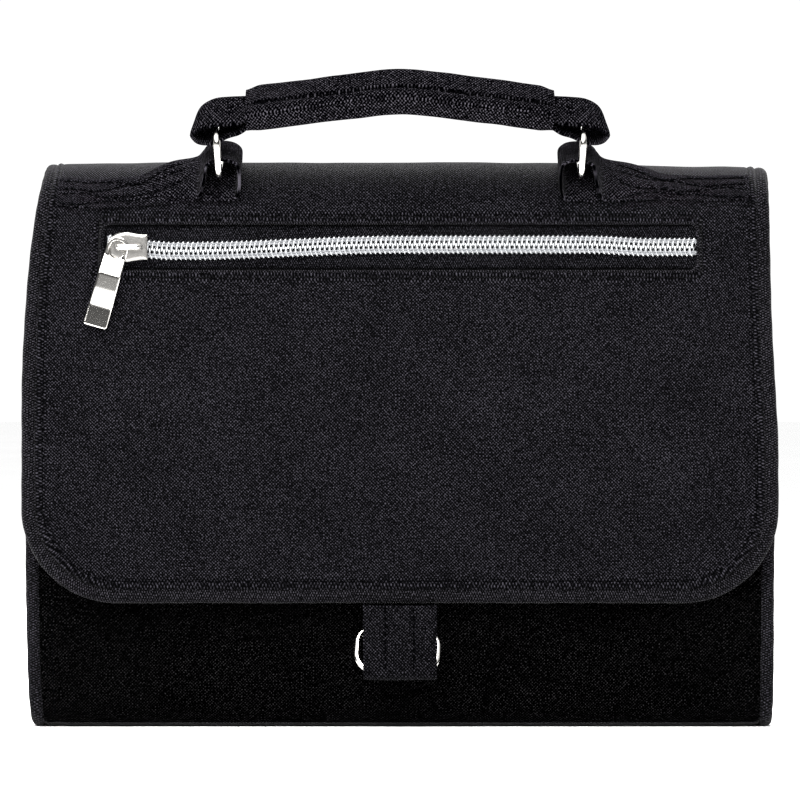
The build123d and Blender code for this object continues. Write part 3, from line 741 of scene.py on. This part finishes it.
# Gussets: side walls with a soft centre fold
gusset_depth = flap_thickness + 1.4  # under the crown's outer face
gusset_x = body_welt_x - 1.4
gusset_low = 1.2 * body_welt_radius
inner_radius = shoulder - gusset_depth
across = np.linspace(-1, 1, 45)[:, None]
up = np.linspace(0, 1, 60)
y = across * (body_half_depth - body_welt_radius - 0.6)
drop_back, drop_front = (
    inner_radius - np.sqrt(np.clip(inner_radius**2 - np.clip(past, 0, None) ** 2, 1.0, None))
    for past in (y - (back_y - shoulder), front_y + shoulder - y)
)
z = gusset_low + up * (crown_height - gusset_depth - np.maximum(drop_back, drop_front) - gusset_low)
edge = (1 - np.abs(across)) * body_half_depth
bulge = 1.6 * smooth(0, 16, edge) * smooth(0, 0.12, up) * smooth(1.0, 0.8, up)
crease = -1.5 * bell(y, 2.6) * smooth(0.1, 0.6, up)
for side, end in ends:
    x = side * (gusset_x + bulge + crease + 0.35 * ripple(y, z, 17.0, 2.0 + side))
    middle = drawn_in(stacked(x, y, z))
    if side > 0:
        middle = middle[::-1]
    # The gussets wear the darker copy of the twill as painted shade
    shell(
        f"gusset_cloth_{end}", middle, 1.2, side_twill_painted_shade, "bag", f"gusset_{end}", stacked(y, z)
    )


# Lining of the compartment
def lining_sheet(low, high, seed):
    """One wall of the lining between two lower and two upper corners, with soft gathers."""
    a = np.linspace(0, 1, 50)[:, None]
    b = np.linspace(0, 1, 36)
    foot, head = (
        np.asarray(pair[0]) * (1 - a[..., None]) + np.asarray(pair[1]) * a[..., None]
        for pair in (low, high)
    )
    wall = foot * (1 - b[:, None]) + head * b[:, None]
    fade = smooth(0, 0.1, a) * smooth(1, 0.9, a) * smooth(0, 0.1, b) * smooth(1, 0.9, b)
    return wall + grid_normals(wall) * (fade * 0.35 * ripple(a * 200, b * 150, 16.0, seed))[..., None]


lining_half = body_welt_x - 3.4
lining_inner = body_half_depth - 2.6
lining_floor, lining_top = 4.6, mouth_z - 2.0
front_left, front_right, back_right, back_left = (
    (sx * lining_half, sy * lining_inner) for sx, sy in square
)
walls = [
    (name, [(*first, lining_floor), (*second, lining_floor)], [(*first, lining_top), (*second, lining_top)])
    for name, first, second in (
        ("lining_front", front_left, front_right),
        ("lining_back", back_right, back_left),
        ("lining_left", back_left, front_left),
        ("lining_right", front_right, back_right),
    )
]
floor_rows = [
    [(*place, lining_floor) for place in row]
    for row in ((back_left, back_right), (front_left, front_right))
]
walls.append(("lining_floor", *floor_rows))
for number, (name, low, high) in enumerate(walls):
    node = "lining" if name == "lining_front" else ""
    sheet = drawn_in(lining_sheet(low, high, number))
    shell(name, sheet, 0.5, lining_cloth, "bag", node)

# Binding folded over the mouth
binding_low, binding_high = mouth_z - 9.0, mouth_z + 0.5
binding_outer, binding_inner = -body_half_depth - 0.4, -lining_inner + 0.2
section = u_path(
    (0, binding_outer, binding_low), (0, 0, binding_high - binding_low),
    (0, binding_inner - binding_outer, 0), 1.0, step=1.0, bend_steps=7
)
x = np.linspace(-lining_half, lining_half, 60)[:, None]
y = section[:, 1] + 0.12 * ripple(x, section[:, 2], 9.0, 4.0)
binding = drawn_in(stacked(x, y, section[:, 2]))
shell("mouth_bound_edge", binding, 0.7, welt_cloth, "bag", "mouth_binding")

# Zip: tapes, lips of the window and coils
zip_rows = ((1, "upper"), (-1, "lower"))
tape_y = -47.1
x = np.linspace(-window_half_length - 1.2, window_half_length + 1.2, 120)[:, None]
away = np.linspace(0.5, 8.7, 24)  # from the chain's middle
rib = 0.06 * np.sin(away * 2 * pi / 0.9)
sunk = 1.1 * smooth(6.0, 7.4, away)
for side, end in zip_rows:
    z = zip_z + side * away
    y = tape_y - 0.3 - rib + sunk - 0.1 * ripple(x, z, 11.0, 1.0 + side)
    middle = stacked(x, y, z)
    if side < 0:
        middle = middle[:, ::-1]
    shell(f"zip_cloth_{end}", middle, 0.5, tape_cloth, "flap", f"zip_tape_{end}")

lip_path = rounded_path(
    [
        (sx * window_half_length, front_y + 0.2, zip_z + sz * window_half_height)
        for sx, sz in square
    ],
    3.2,
    closed=True,
    bend_steps=10,
)
tube("window_lip", lip_path, (0, 1, 0), 0.8, 0.5, welt_cloth, "flap", sides=14, closed=True)

coil_pitch = 1.54
coil_count = 121
coil_end = coil_count / 2 * coil_pitch
coil_wire = 0.36
slider_x = -86.0
turn_places = np.array(
    [
        (0.0, -0.4, -1.3), (0.03, 0.1, -1.85), (0.12, 1.0, -1.95), (0.32, 1.85, -1.9), (0.72, 2.6, -1.65),
        (0.86, 2.78, -1.1), (0.95, 2.45, -0.7), (1.2, 1.4, -0.6), (1.44, 0.1, -0.7),
    ]
)


def chain_row(x, side, away):
    """Height of a row of the chain, which wanders in its soft tape and parts past the slider's nose."""
    wander = -0.5 - 0.7 * smooth(-84, -72, x) + 2.0 * smooth(-68, 0, x) - 0.8 * smooth(60, 80, x)
    return zip_z + wander + side * (away + 1.5 * np.clip((slider_x - x) / 2.2, 0, 1))


for side, end in zip_rows:
    starts = -coil_end + coil_pitch * (np.arange(coil_count) + 0.25 + side * 0.25)
    controls = np.concatenate([turn_places + (start, 0, 0) for start in starts])
    x, away, y = curve_through(controls, len(controls) * 2).T
    path = stacked(x, tape_y + y, chain_row(x, side, away))
    heading = unit(np.gradient(path, axis=0))
    binormal = unit(np.cross(heading, np.cross(along, heading)))
    tube(
        f"zip_wound_coil_{end}", path, binormal, coil_wire, coil_wire, silver_coil, "flap",
        f"zip_coil_{end}", sides=8
    )
    x = np.linspace(-coil_end + 0.6, coil_end + 0.6, coil_count * 8)
    turn = 2 * pi * x / coil_pitch
    for lane, away in (("inner", 1.55), ("outer", 2.2)):
        path = stacked(x, tape_y - 2.0 + 0.12 * np.sin(turn + away), chain_row(x, side, away))
        beads = 0.25 * np.sin(2 * turn + 3 * away)[:, None]
        tube(
            f"zip_chain_stitch_{end}_{lane}", path, (0, 0, 1), 0.34, 0.3, silver_thread, "flap",
            sides=8, swell=beads
        )

# Puller: a bowed plate whose eye hangs on the slider's bridge
outward = np.array([0.0, -1.0, 0.0])
puller_lean = radians(16.0)
puller_down = np.array([-sin(puller_lean), 0.0, -cos(puller_lean)])
puller_side = np.array([cos(puller_lean), 0.0, -sin(puller_lean)])
puller_origin = np.array([-89.5, -51.25, 152.0])
plate_half = 0.55
plate_rim = 0.45


def turned_plate(rows, outer, hole, bow):
    """A plate with an eye and rolled rims, from rows down it, half widths and how far it bows out."""
    shares = 1 - np.cos(np.linspace(0, pi / 2, 9))
    shares = np.concatenate([shares / 2, 1 - shares[::-1][1:] / 2])
    outer, hole = outer[:, None], hole[:, None]
    across = np.concatenate([-outer + (outer - hole) * shares, hole + (outer - hole) * shares], axis=1)
    near_rim = np.minimum(outer - np.abs(across), np.where(hole > 0, np.abs(across) - hole, 9.0))
    near_end = np.minimum(rows - rows[0], rows[-1] - rows)[:, None]
    near_rim = np.clip(np.minimum(near_rim, near_end) / plate_rim, 0, 1)
    thick = outward * (plate_half * (0.85 * np.sqrt(1 - (1 - near_rim) ** 2) + 0.15))[..., None]
    middle = puller_origin + puller_side * across[..., None]
    middle = middle + (puller_down * rows[:, None] + outward * bow[:, None])[:, None]
    columns = across.shape[1]
    total = len(rows) * columns
    centre = columns // 2 - 1
    faces = []

    def add_wall(a, b, flip):
        face = (b, a, total + a, total + b)
        faces.append(face[::-1] if flip else face)

    for i in range(len(rows) - 1):
        for j in range(columns - 1):
            if j != centre:
                a, b = i * columns + j, (i + 1) * columns + j
                faces.append((a, b, b + 1, a + 1))
                faces.append((total + a + 1, total + b + 1, total + b, total + a))
        edges = [(0, False), (columns - 1, True)]
        if hole[i] > 0 or hole[i + 1] > 0:
            edges += [(centre, True), (centre + 1, False)]
        for j, flip in edges:
            add_wall(i * columns + j, (i + 1) * columns + j, flip)
    for i, flip in ((0, False), (len(rows) - 1, True)):
        for j in range(columns - 1):
            if j != centre:
                add_wall(i * columns + j, i * columns + j + 1, flip)
    points = np.concatenate([(middle + thick).reshape(-1, 3), (middle - thick).reshape(-1, 3)])
    uvs = np.tile(stacked(rows[:, None], across).reshape(-1, 2), (2, 1))
    plate = make_object("cast_puller", points, faces, uvs, nickel, "puller", "zip_puller", 75.0)
    weld = bmesh.new()
    weld.from_mesh(plate.data)
    bmesh.ops.remove_doubles(weld, verts=weld.verts, dist=1e-6)
    bmesh.ops.dissolve_degenerate(weld, edges=weld.edges, dist=1e-6)
    bmesh.ops.recalc_face_normals(weld, faces=weld.faces)
    weld.to_mesh(plate.data)
    weld.free()
    plate.data.shade_smooth()
    plate.data.set_sharp_from_angle(angle=radians(75))


eye_radius, eye_centre = 3.55, -0.6
eye_long, eye_wide = 2.9, 2.3
tip = 25.4
tip_bend, tip_corner = 1.9, 0.9
tilt_places = (1.8, 3.0, 8.0, 8.6, 12.8, 13.5, 18.4, 19.2, 25.4)
tilts = (0.0, 13.5, 14.0, 0.9, 0.4, -6.0, -8.0, 4.0, 6.0)  # of the plate at those places, in degrees
rows = np.unique(
    np.concatenate(
        [
            eye_centre - eye_radius * np.cos(np.linspace(0.02, pi / 2 - 0.35, 16)),
            np.linspace(-0.2, 2.8, 12),
            np.linspace(3.2, tip - tip_bend, 50),
            tip - tip_bend + tip_bend * np.sin(np.linspace(0, pi / 2, 10))[1:],
            [-eye_long, eye_long],
        ]
    )
)
circle_half = np.sqrt(np.clip(eye_radius**2 - (rows - eye_centre) ** 2, 0.01, None))
blade_half = eye_radius + 0.3 * np.clip(rows / tip, 0, 1)
corner = np.clip((rows - (tip - tip_corner)) / tip_corner, 0, 1)
outer = np.where(rows < eye_centre, circle_half, blade_half)
outer = outer - tip_corner * (1 - np.sqrt(1 - corner**2 * 0.999))
hole = eye_wide * np.sqrt(np.clip(1 - (rows / eye_long) ** 2, 0, None))
fine_run = np.linspace(0, 26, 400)
slope = np.tan(np.radians(np.interp(fine_run, tilt_places, tilts)))
rise = np.concatenate([[0.0], np.cumsum(slope[1:] * np.diff(fine_run))])
turned_plate(rows, outer, hole, np.interp(rows, fine_run, rise))

# Slider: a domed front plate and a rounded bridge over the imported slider
dome_runs = np.sort(np.concatenate([np.linspace(-6, 6, 41), [-5.9, 5.9, -5.75, 5.75]]))[:, None]
slider_half = curve_through([(-6, 2.6), (-3.4, 3.9), (-0.6, 4.6), (2.0, 4.2), (4.2, 3.9), (6, 3.9)], 200)
dome_half = np.interp(dome_runs, slider_half[:, 0], slider_half[:, 1])
dome_share = np.sin(np.linspace(-pi / 2, pi / 2, 33))
rim_gap = np.minimum(dome_half * (1 - np.abs(dome_share)), 6.02 - np.abs(dome_runs))
dome_rise = 0.42 * np.sqrt(np.clip(1 - (1 - np.clip(rim_gap / 1.1, 0, 1)) ** 2, 0, 1))
dome = stacked(slider_x + dome_runs, -50.22 - dome_rise / 2, zip_z + dome_half * dome_share)
# The dome takes the darker slider metal, which is partly painted shade
shell("slider_domed_plate", dome, 0.35 + dome_rise, dull_slider_metal_painted_shade, "slider", sharp=70.0)
bridge_half, bridge_foot, bridge_top = 3.8, -50.3, -52.85
bridge_path = u_path(
    (slider_x - bridge_half, bridge_foot, zip_z), (0, bridge_top - bridge_foot, 0),
    (2 * bridge_half, 0, 0), 1.3, step=0.6, bend_steps=10
)
tube("slider_rounded_bridge", bridge_path, (0, 0, 1), 0.92, 0.62, nickel, "slider", sides=20)


# Rings of bent round wire
def wire_ring(name, middle, wide, high, through, body, node, corner=4.0, long_half=13.15):
    """A ring in the plane of its wide and high directions."""
    corners = [middle + wide * (sx * long_half) + high * (sz * 7.15) for sx, sz in square]
    path = rounded_path(corners, corner, closed=True, step=1.2, bend_steps=14)
    tube(name, path, through, 1.15, 1.15, nickel, body, node, sides=24, closed=True)


ring_tip = radians(3.0)  # of the rings, top outwards
ring_drop = 1.1
for side, end in ends:
    tipped = lift_way * cos(ring_tip) + along * side * sin(ring_tip)
    middle = ring_middle + along * side * ring_x - lift_way * ring_drop
    wire_ring(
        f"handle_wire_ring_{end}", middle, bar_way, tipped, np.cross(bar_way, tipped), f"ring_{end}",
        f"handle_ring_{end}"
    )
closure_high = unit(closure_bar - closure_lower_bar)
closure_turn = radians(3.0)
closure_shift = 0.8
wire_ring(
    "closure_wire_ring",
    (closure_bar + closure_lower_bar) / 2 - along * closure_shift,
    along * cos(closure_turn) - closure_high * sin(closure_turn),
    closure_high * cos(closure_turn) + along * sin(closure_turn),
    np.cross(along, closure_high),
    "closure_ring",
    "closure_ring",
    5.2,
    12.7,
)

# Handle tabs: webbing sewn round the front shoulder, with a loop for each ring
webbing_half = 10.9
webbing_thick = 1.5
tab_middle_angle = radians(131.0)
crown_radius_mid = shoulder + 0.1 + webbing_thick / 2


def band_profile(count, half):
    """Places across a band and its thickness there, thin at its rounded edges."""
    share = np.sin(np.linspace(-pi / 2, pi / 2, count))
    return share * half, 0.35 + 0.65 * np.sqrt(np.clip(1 - np.abs(share) ** 6, 0, 1))


def tab_point(x, high, across_band):
    """A point of a tab: wrapped round the crown when low and straight across when high."""
    angle = tab_middle_angle - across_band / crown_radius_mid
    radius = crown_radius_mid + high + 2.25
    wrapped_y = front_y + shoulder + radius * np.cos(angle)
    wrapped_z = fold_z + radius * np.sin(angle)
    straight = lower_bar + lift_way * high[..., None] + bar_way * across_band[..., None]
    share = smooth(-2.0, 3.0, high)
    y = wrapped_y * (1 - share) + straight[..., 1] * share
    z = wrapped_z * (1 - share) + straight[..., 2] * share
    return stacked(x, y, z)


tab_line = curve_through(
    [
        (-113.2, -2.25), (-104, -2.25), (-95, -2.2), (-85, -2.25), (-76, -2.2), (-68.8, -2.1), (-64.4, -1.3),
        (-62.3, 0.6), (-61.1, 2.4), (-58.7, 3.5), (-55.6, 3.8), (-52.6, 3.1), (-50.9, 1.4),
        (-51.2, -0.5), (-53.4, -1.8), (-58.0, -2.3), (-62.5, -2.6),
    ],
    220,
)
tab_rows = (-8.6, -4.0, 1.0, 5.4)


def row_wander(x, place):
    """How far a row of stitches on a tab strays from its straight line."""
    return 1.3 * np.sin(x * 0.14 + 0.6 * place) + 0.7 * np.sin(x * 0.33 - place)


def gathered(line_x, band, side):
    """Places across a tab, whose webbing is gathered narrow towards its sewn end."""
    free = smooth(-86, -66, line_x)
    low_edge = (-12.4 if side < 0 else -9.6) * (1 - free) - webbing_half * free
    low_edge = low_edge - 0.6 * bell(line_x + 97, 7)
    return low_edge + (band + webbing_half) * (0.5 + 0.5 * free)


for side, end in ends:
    band, thin = band_profile(61, webbing_half)
    line_x, high = tab_line[:, :1], tab_line[:, 1:]
    x = -side * line_x
    on_tongue = np.arange(len(tab_line))[:, None] > 165
    flat_part = np.where(on_tongue, 0.0, smooth(-62, -72, line_x))
    high = high - 0.05 * band * smooth(0.0, 3.0, high)
    high = high + 0.25 * ripple(x, band * 2.0, 6.0, 1.5 + side) * flat_part
    pucker = 0.75 + 0.25 * np.sin(2 * pi * x / 2.6)
    for place in tab_rows:
        away = band - place - row_wander(line_x, place)
        high = high - 0.6 * pucker * bell(away, 1.1) * flat_part
    grid, uv = tab_point(x, high, gathered(line_x, band, side)), stacked(x, band)
    if side < 0:
        grid, uv = grid[:, ::-1], uv[:, ::-1]
    shell(
        f"tab_webbing_{end}", drawn_in(grid), webbing_thick * thin, webbing, "crown",
        f"handle_tab_{end}", uv
    )
    rows = []
    stitch_x = np.linspace(-111.5, -69, 60)
    level = np.full_like(stitch_x, -2.25 + webbing_thick / 2)
    for place in tab_rows:
        wander = gathered(stitch_x, place + row_wander(stitch_x, place), side)
        points, above = (tab_point(-side * stitch_x, level + lift, wander) for lift in (0.0, 1.0))
        rows.append((drawn_in(points), above - points))
    stitches(f"tab_stitches_{end}", rows, "crown", pitch=2.6, length=2.0, radius=0.2)


# Handle: webbing loops round the rings and a sewn, padded sleeve
def handle_point(x, high, across_band=0.0):
    """A point in the leaning frame of the handle."""
    x, high, across_band = np.broadcast_arrays(x, high, across_band)
    return ring_middle + along * x[..., None] + lift_way * high[..., None] + bar_way * across_band[..., None]


loop_line = curve_through(
    [
        (-40, 12.0), (-48, 11.2), (-54, 10.9), (-59.5, 10.3), (-63.6, 8.6), (-65.2, 5.9), (-63.6, 3.3),
        (-60.4, 2.6), (-56.6, 3.7), (-52.4, 6.2), (-47.4, 8.8), (-40, 10.4),
    ],
    80,
)
for side, end in ends:
    band, thin = band_profile(17, webbing_half)
    x = -side * loop_line[:, :1]
    high = loop_line[:, 1:] + 0.1 * ripple(x, band, 9.0, side)
    upper_leg = smooth(4, 9, high) * smooth(45, 52, np.abs(x))
    high = high + (band - webbing_half) * np.tan(radians(5)) * upper_leg
    x = x - np.sign(x) * 0.1 * (band + 5) * smooth(55, 64, np.abs(x))
    grid = handle_point(x, high, band)
    uv = stacked(0.8 * np.arange(len(loop_line))[:, None], 0.45 * band)
    if side < 0:
        grid, uv = grid[:, ::-1], uv[:, ::-1]
    node = "handle_strap grip_padding" if side < 0 else ""
    shell(f"handle_loop_{end}", grid, webbing_thick * thin, grip_cloth, "handle", node, uv)

grip_half = 48.5
grip_side, grip_up = 13.4, 3.3  # half sizes of the sleeve
stations = np.linspace(-1, 1, 150)
grip_x = stations * grip_half


def grip_rise(x):
    """Height of the sleeve's middle: two nearly straight halves that meet in a soft peak."""
    t = np.abs(x) / grip_half
    return 10.2 + 6.0 * (1 - np.sqrt(t**2 + 0.018) + 0.018**0.5 * (1 - t))


grip_full = smooth(1.0, 0.9, np.abs(stations))
fine = np.linspace(0, 2 * pi, 4000)
box_power = 0.26  # of a rounded box section
outline = np.stack([np.sign(wave) * np.abs(wave) ** box_power for wave in (np.cos(fine), np.sin(fine))], -1)
run = runs_along(outline * (grip_side, grip_up))
even = np.linspace(0, run[-1], 150, endpoint=False)
grip_section = np.stack([np.interp(even, run, outline[:, 0]), np.interp(even, run, outline[:, 1])], -1)
side_share, up_share = grip_section.T
seam_place = -0.3
on_top = smooth(0.4, 0.8, up_share)
front_wall = smooth(-0.9, -0.97, side_share)
overlap = 0.75 * smooth(seam_place - 0.02, seam_place + 0.02, side_share) * on_top
pinch = -0.5 * bell(side_share - seam_place + 0.05, 0.04) * on_top
fold_swell = 0.4 * bell(side_share + 0.66, 0.22) * on_top
front_crease = -0.6 * bell(up_share - 0.55, 0.16) * front_wall
x = grip_x[:, None]
wrinkles = 0.12 * ripple(x, even, 5.0, 2.5) + 0.16 * ripple(x, even, 14.0, 0.3)
keep = 0.5 + 0.5 * grip_full[:, None]
side_dent = -(front_crease - 0.25 * np.cos(pi * up_share / 1.6) * front_wall) * keep
up_dent = (overlap + pinch + fold_swell) * keep + wrinkles * np.sign(up_share)
turn_place = float(even[np.argmin(np.abs(side_share + 1) + np.abs(up_share - 0.6))])
grip_around = np.where(even > turn_place, 2 * turn_place - even, turn_place - 0.45 * (turn_place - even))
grip = tube(
    "grip_wrap", handle_point(grip_x, grip_rise(grip_x)), bar_way, 13.0 + 0.5 * grip_full,
    2.9 + 0.5 * grip_full, grip_cloth, "handle", "grip_sleeve",
    section=grip_section, dent=(side_dent, up_dent), around=grip_around
)
# The sleeve's front and back walls get the lighter copy of its cloth as painted light
grip.data.materials.append(grip_walls_painted_light)
painted_light_walls = np.abs(side_share) > 0.93
for polygon in grip.data.polygons:
    polygon.material_index = int(painted_light_walls[polygon.index % len(painted_light_walls)])


# Closure: anchor loop, strap round the ring and its free end
def strip_piece(name, line, half, thickness, material, body, nodes, seed):
    """A flat band along a line of (y, z) places."""
    band, thin = band_profile(15, half)
    z = line[:, 1:] + 0.12 * ripple(band, np.arange(len(line))[:, None], 7.0, seed)
    uv = stacked(band, runs_along(line)[:, None])
    shell(name, stacked(band, line[:, :1], z), thickness * thin, material, body, nodes, uv)


strap_half = 11.7
bar_y, bar_z = closure_lower_bar[1:]
fold_radius = 2.35
strap_front = bar_y - fold_radius
down_line = curve_through(
    [
        (-42.7, 62), (-42.8, 50), (-43.1, 42), (-44.6, 36), (bar_y + fold_radius, 30),
        (bar_y + fold_radius, bar_z + 2),
    ],
    50,
)
fold_angles = np.linspace(0, -pi, 16)
fold_line = (bar_y, bar_z) + fold_radius * stacked(np.cos(fold_angles), np.sin(fold_angles))
tail_line = curve_through(
    [(strap_front, bar_z + 0.3), (strap_front - 0.1, 25), (bar_y - 1.9, 32), (bar_y - 0.5, 39.2)], 30
)
anchor_line = curve_through(
    [
        (-39.9, 46), (-39.9, 38), (-40.2, 35), (-40.0, 31.5), (-41.0, 29.6), (-42.9, 29.8), (-43.8, 31.5),
        (-43.0, 34), (-41.2, 38), (-41.0, 45.5),
    ],
    60,
)
strap_line = np.concatenate([down_line, fold_line, [(strap_front, bar_z + 0.6)]])
strip_piece("closure_band", strap_line, strap_half, 1.2, strap_cloth, "flap", "closure_strap", 0.5)
strip_piece("closure_band_end", tail_line, strap_half, 1.2, strap_cloth, "strap_end", "strap_tail", 1.5)
rows = []
for place in (-4.7, 4.3):
    points = stacked(place, tail_line[:, 0] - 0.6, tail_line[:, 1])
    rows.append((points, outward + 0 * points))
stitches("closure_stitches", rows, "strap_end", pitch=2.4, length=1.9, radius=0.3)
strip_piece("anchor_webbing", anchor_line, 9.8, 1.0, webbing, "bag", "ring_anchor", 2.5)


# Topstitching and seams
def on_cover(x, runs, rise=0.05):
    """Points on the flap's cloth and their outward directions."""
    y, z, out_y, out_z = cover_line(runs)
    lift = flap_lift(x, runs) + rise
    return drawn_in(stacked(x, y + out_y * lift, z + out_z * lift)), stacked(0, out_y, out_z)


inset_half = panel_half - seam_in
row_top = 0.5
outline = u_path(
    (-inset_half, 0, row_top), (0, 0, panel_low + seam_in - row_top), (2 * inset_half, 0, 0),
    hem_corner - seam_in, bend_steps=24
)
flap_rows = [on_cover(outline[:, 0], outline[:, 2])]
crown_rows, body_rows = [], []
for side, end in ends:
    runs = np.linspace(window_runs[0] - 0.5, window_runs[1] + 0.5, 20)
    flap_rows.append(on_cover(np.full(20, side * (window_half_length + 2.2)), runs))
    runs = np.linspace(2, crown_middle, 60)
    crown_rows.append(on_cover(np.full(60, side * inset_half), runs))
    z = np.linspace(4, mouth_z - 10, 80)
    points = stacked(side * (body_half - body_seam_in), -body_half_depth + 0.35, z)
    body_rows.append((drawn_in(points), outward + 0 * points))
    y, z, out_y, out_z = cover_line(np.linspace(back_start + 12, back_end - 4, 80), 0.3)
    body_rows.append((drawn_in(stacked(side * inset_half, y, z)), stacked(0, out_y, out_z)))
lap_x = np.linspace(-inset_half, inset_half, 120)
crown_rows.append(on_cover(lap_x, np.full(120, crown_middle - 3.4), -0.3))
stitches("flap_topstitching", flap_rows, "flap", length=2.5, radius=0.33)
stitches("crown_topstitching", crown_rows, "crown")
stitches("body_topstitching", body_rows, "bag")

seam_x = np.linspace(-46, 46, 70)
seam_points = handle_point(seam_x, grip_rise(seam_x) + 3.3, (seam_place - 0.06) * grip_side)
seam_rows = [(seam_points, lift_way + 0 * seam_points)]
for side, end in ends:
    for step in (-0.5, 0.0, 0.5):
        tack_x = np.full(8, side * 43.2 + step)
        points = handle_point(tack_x, grip_rise(tack_x) + 3.75, np.linspace(-8.0, -2.5, 8))
        seam_rows.append((points, lift_way + 0 * points))
stitches("grip_stitches", seam_rows, "handle", pitch=2.4, length=1.95, radius=0.3)

# Pocket of net with a bound edge, inside the flap
net_half, net_low, net_high, net_y = 104.0, 66.0, 143.0, -42.9
cell = 3.2
columns, lines = int(2 * net_half / cell) + 1, int((net_high - net_low) / cell) + 1
i, j = np.arange(lines)[:, None], np.arange(columns)
x = np.clip(-net_half + j * cell + cell / 4 * np.where(i % 2, 1, -1), -net_half, net_half)
z = net_low + i * cell
points = stacked(x, net_y + 0.25 * ripple(x, z, 20.0, 6.0), z).reshape(-1, 3)
first = (i[:-1] * columns + j[:-1]).ravel()
faces = np.stack([first, first + 1, first + columns + 1, first + columns], -1).tolist()
net = make_object(
    "net_pocket", points, faces, points[:, [0, 2]], net_cloth, "flap", "mesh_pocket"
)
strands = net.modifiers.new("strands", "WIREFRAME")
strands.thickness = 0.55 * MM
strands.use_even_offset = False
x = np.linspace(-net_half, net_half, 90)[:, None]
edge_grid = stacked(x, -42.4 + 0.2 * np.sin(x * 0.9), np.linspace(137, 143.4, 12))
shell("net_bound_edge", edge_grid, 0.9, welt_cloth, "flap", "mesh_edge")


def bristled_patch(name, node, material, body, height, lean_by):
    """A fastener patch: a backing with rows of small hooks or loops on one side."""
    low, high = (np.array(corner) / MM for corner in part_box(node))
    y = (low[1] + high[1]) / 2
    points, faces = [], []

    def block(x0, x1, y0, y1, z0, z1):
        base = len(points)
        points.extend((x, y, z) for x in (x0, x1) for y in (y0, y1) for z in (z0, z1))
        for face in ((0, 1, 3, 2), (4, 6, 7, 5), (0, 4, 5, 1), (2, 3, 7, 6), (0, 2, 6, 4), (1, 5, 7, 3)):
            faces.append(tuple(base + k for k in face))

    block(low[0], high[0], y - 0.12, y + 0.12, low[2], high[2])
    for i in range(int((high[0] - low[0]) / 1.1)):
        for j in range(int(high[2] - low[2])):
            x, z = low[0] + 0.6 + i * 1.1, low[2] + 0.5 + j
            block(x - 0.14, x + 0.14, y, y + height, z - 0.14, z + 0.14)
            block(x - 0.14, x + 0.14, y + height * 0.8, y + height, z - 0.14, z + lean_by)
    make_object(name, points, faces, np.array(points)[:, [0, 2]], material, body, node)


bristled_patch("hook_pad", "strap_hook_patch", hook_plastic, "strap_end", 0.25, 0.4)
bristled_patch("loop_pad", "strap_loop_patch", net_cloth, "flap", -0.25, 0.3)

# Rigid CAD nodes that stay, with their own finishes; the slider's darker metal is partly painted shade
for node, material in (("zip_slider", dull_slider_metal_painted_shade), ("base_board", stiff_sheet)):
    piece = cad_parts[node]
    piece.data.materials.clear()
    piece.data.materials.append(material)
    rounding = piece.modifiers.new("worn_edges", "BEVEL")
    rounding.width = 0.12 * MM
    rounding.segments = 2
    rounding.limit_method = "ANGLE"
    rounding.angle_limit = radians(40)

# Studio: pale floor, soft lights and the camera of the photograph
scene = bpy.context.scene
far = 6.0
floor_mesh = bpy.data.meshes.new("studio_floor")
floor_mesh.from_pydata([(far * sx, far * sy, 0) for sx, sy in square], [], [(0, 1, 2, 3)])
floor = bpy.data.objects.new("studio_floor", floor_mesh)
scene.collection.objects.link(floor)
paint = speckled(
    "studio_paint", (0.93,) * 3, (0.97,) * 3, 3.0, spread=(0.2, 0.8), rough=0.9, detail=2.0, bump=0.0
)
floor_mesh.materials.append(paint)

world = bpy.data.worlds.new("studio")
scene.world = world
world.use_nodes = True
sky = Tree(world.node_tree)
height = sky.add("SeparateXYZ", {0: sky.add("TexCoord", {}, "Generated")}, "Z")
greys = [(0.0, 0.45), (0.03, 0.45), (0.07, 0.06), (0.3, 0.06), (0.42, 1.0)]
front_walls = sky.ramp(height, [(place, (grey,) * 3) for place, grey in greys])
behind = sky.ramp(height.node.outputs["Y"], [(0.0, (0.0,) * 3), (0.2, (1.0,) * 3)])
sides = {"Factor": behind, "A": front_walls, "B": (1.0, 1.0, 1.0, 1.0)}
light = sky.add("Mix", sides, "Result", data_type="RGBA")
sky.feed(sky.nodes["Background"], {"Color": light, "Strength": 1.07})
scene.view_settings.view_transform = "Standard"


def facing(thing, place, aim):
    """Puts a light or camera at a place, towards a point."""
    thing.location = place
    thing.rotation_euler = (Vector(aim) - Vector(place)).to_track_quat("-Z", "Y").to_euler()
    scene.collection.objects.link(thing)


for name, place, aim, size, power in (
    ("key", (-0.2, -0.73, 0.86), (0, 0, 0.14), 1.0, 43.0),
    ("rim", (0.0, 0.6, 1.0), (0, 0, 0.15), 0.8, 50.0),
):
    light = bpy.data.lights.new(name, "AREA")
    light.size = size
    light.energy = power
    facing(bpy.data.objects.new(name, light), place, aim)

camera_data = bpy.data.cameras.new("camera")
camera = bpy.data.objects.new("camera", camera_data)
view_distance = 2.2
view_width = 0.2533  # of the picture at the flap
facing(camera, (0.0, front_y * MM - view_distance, 0.133), (0.0, front_y * MM, 0.1044))
camera_data.sensor_width = 36.0
camera_data.lens = camera_data.sensor_width * view_distance / view_width
camera_data.clip_start = 0.01
scene.camera = camera
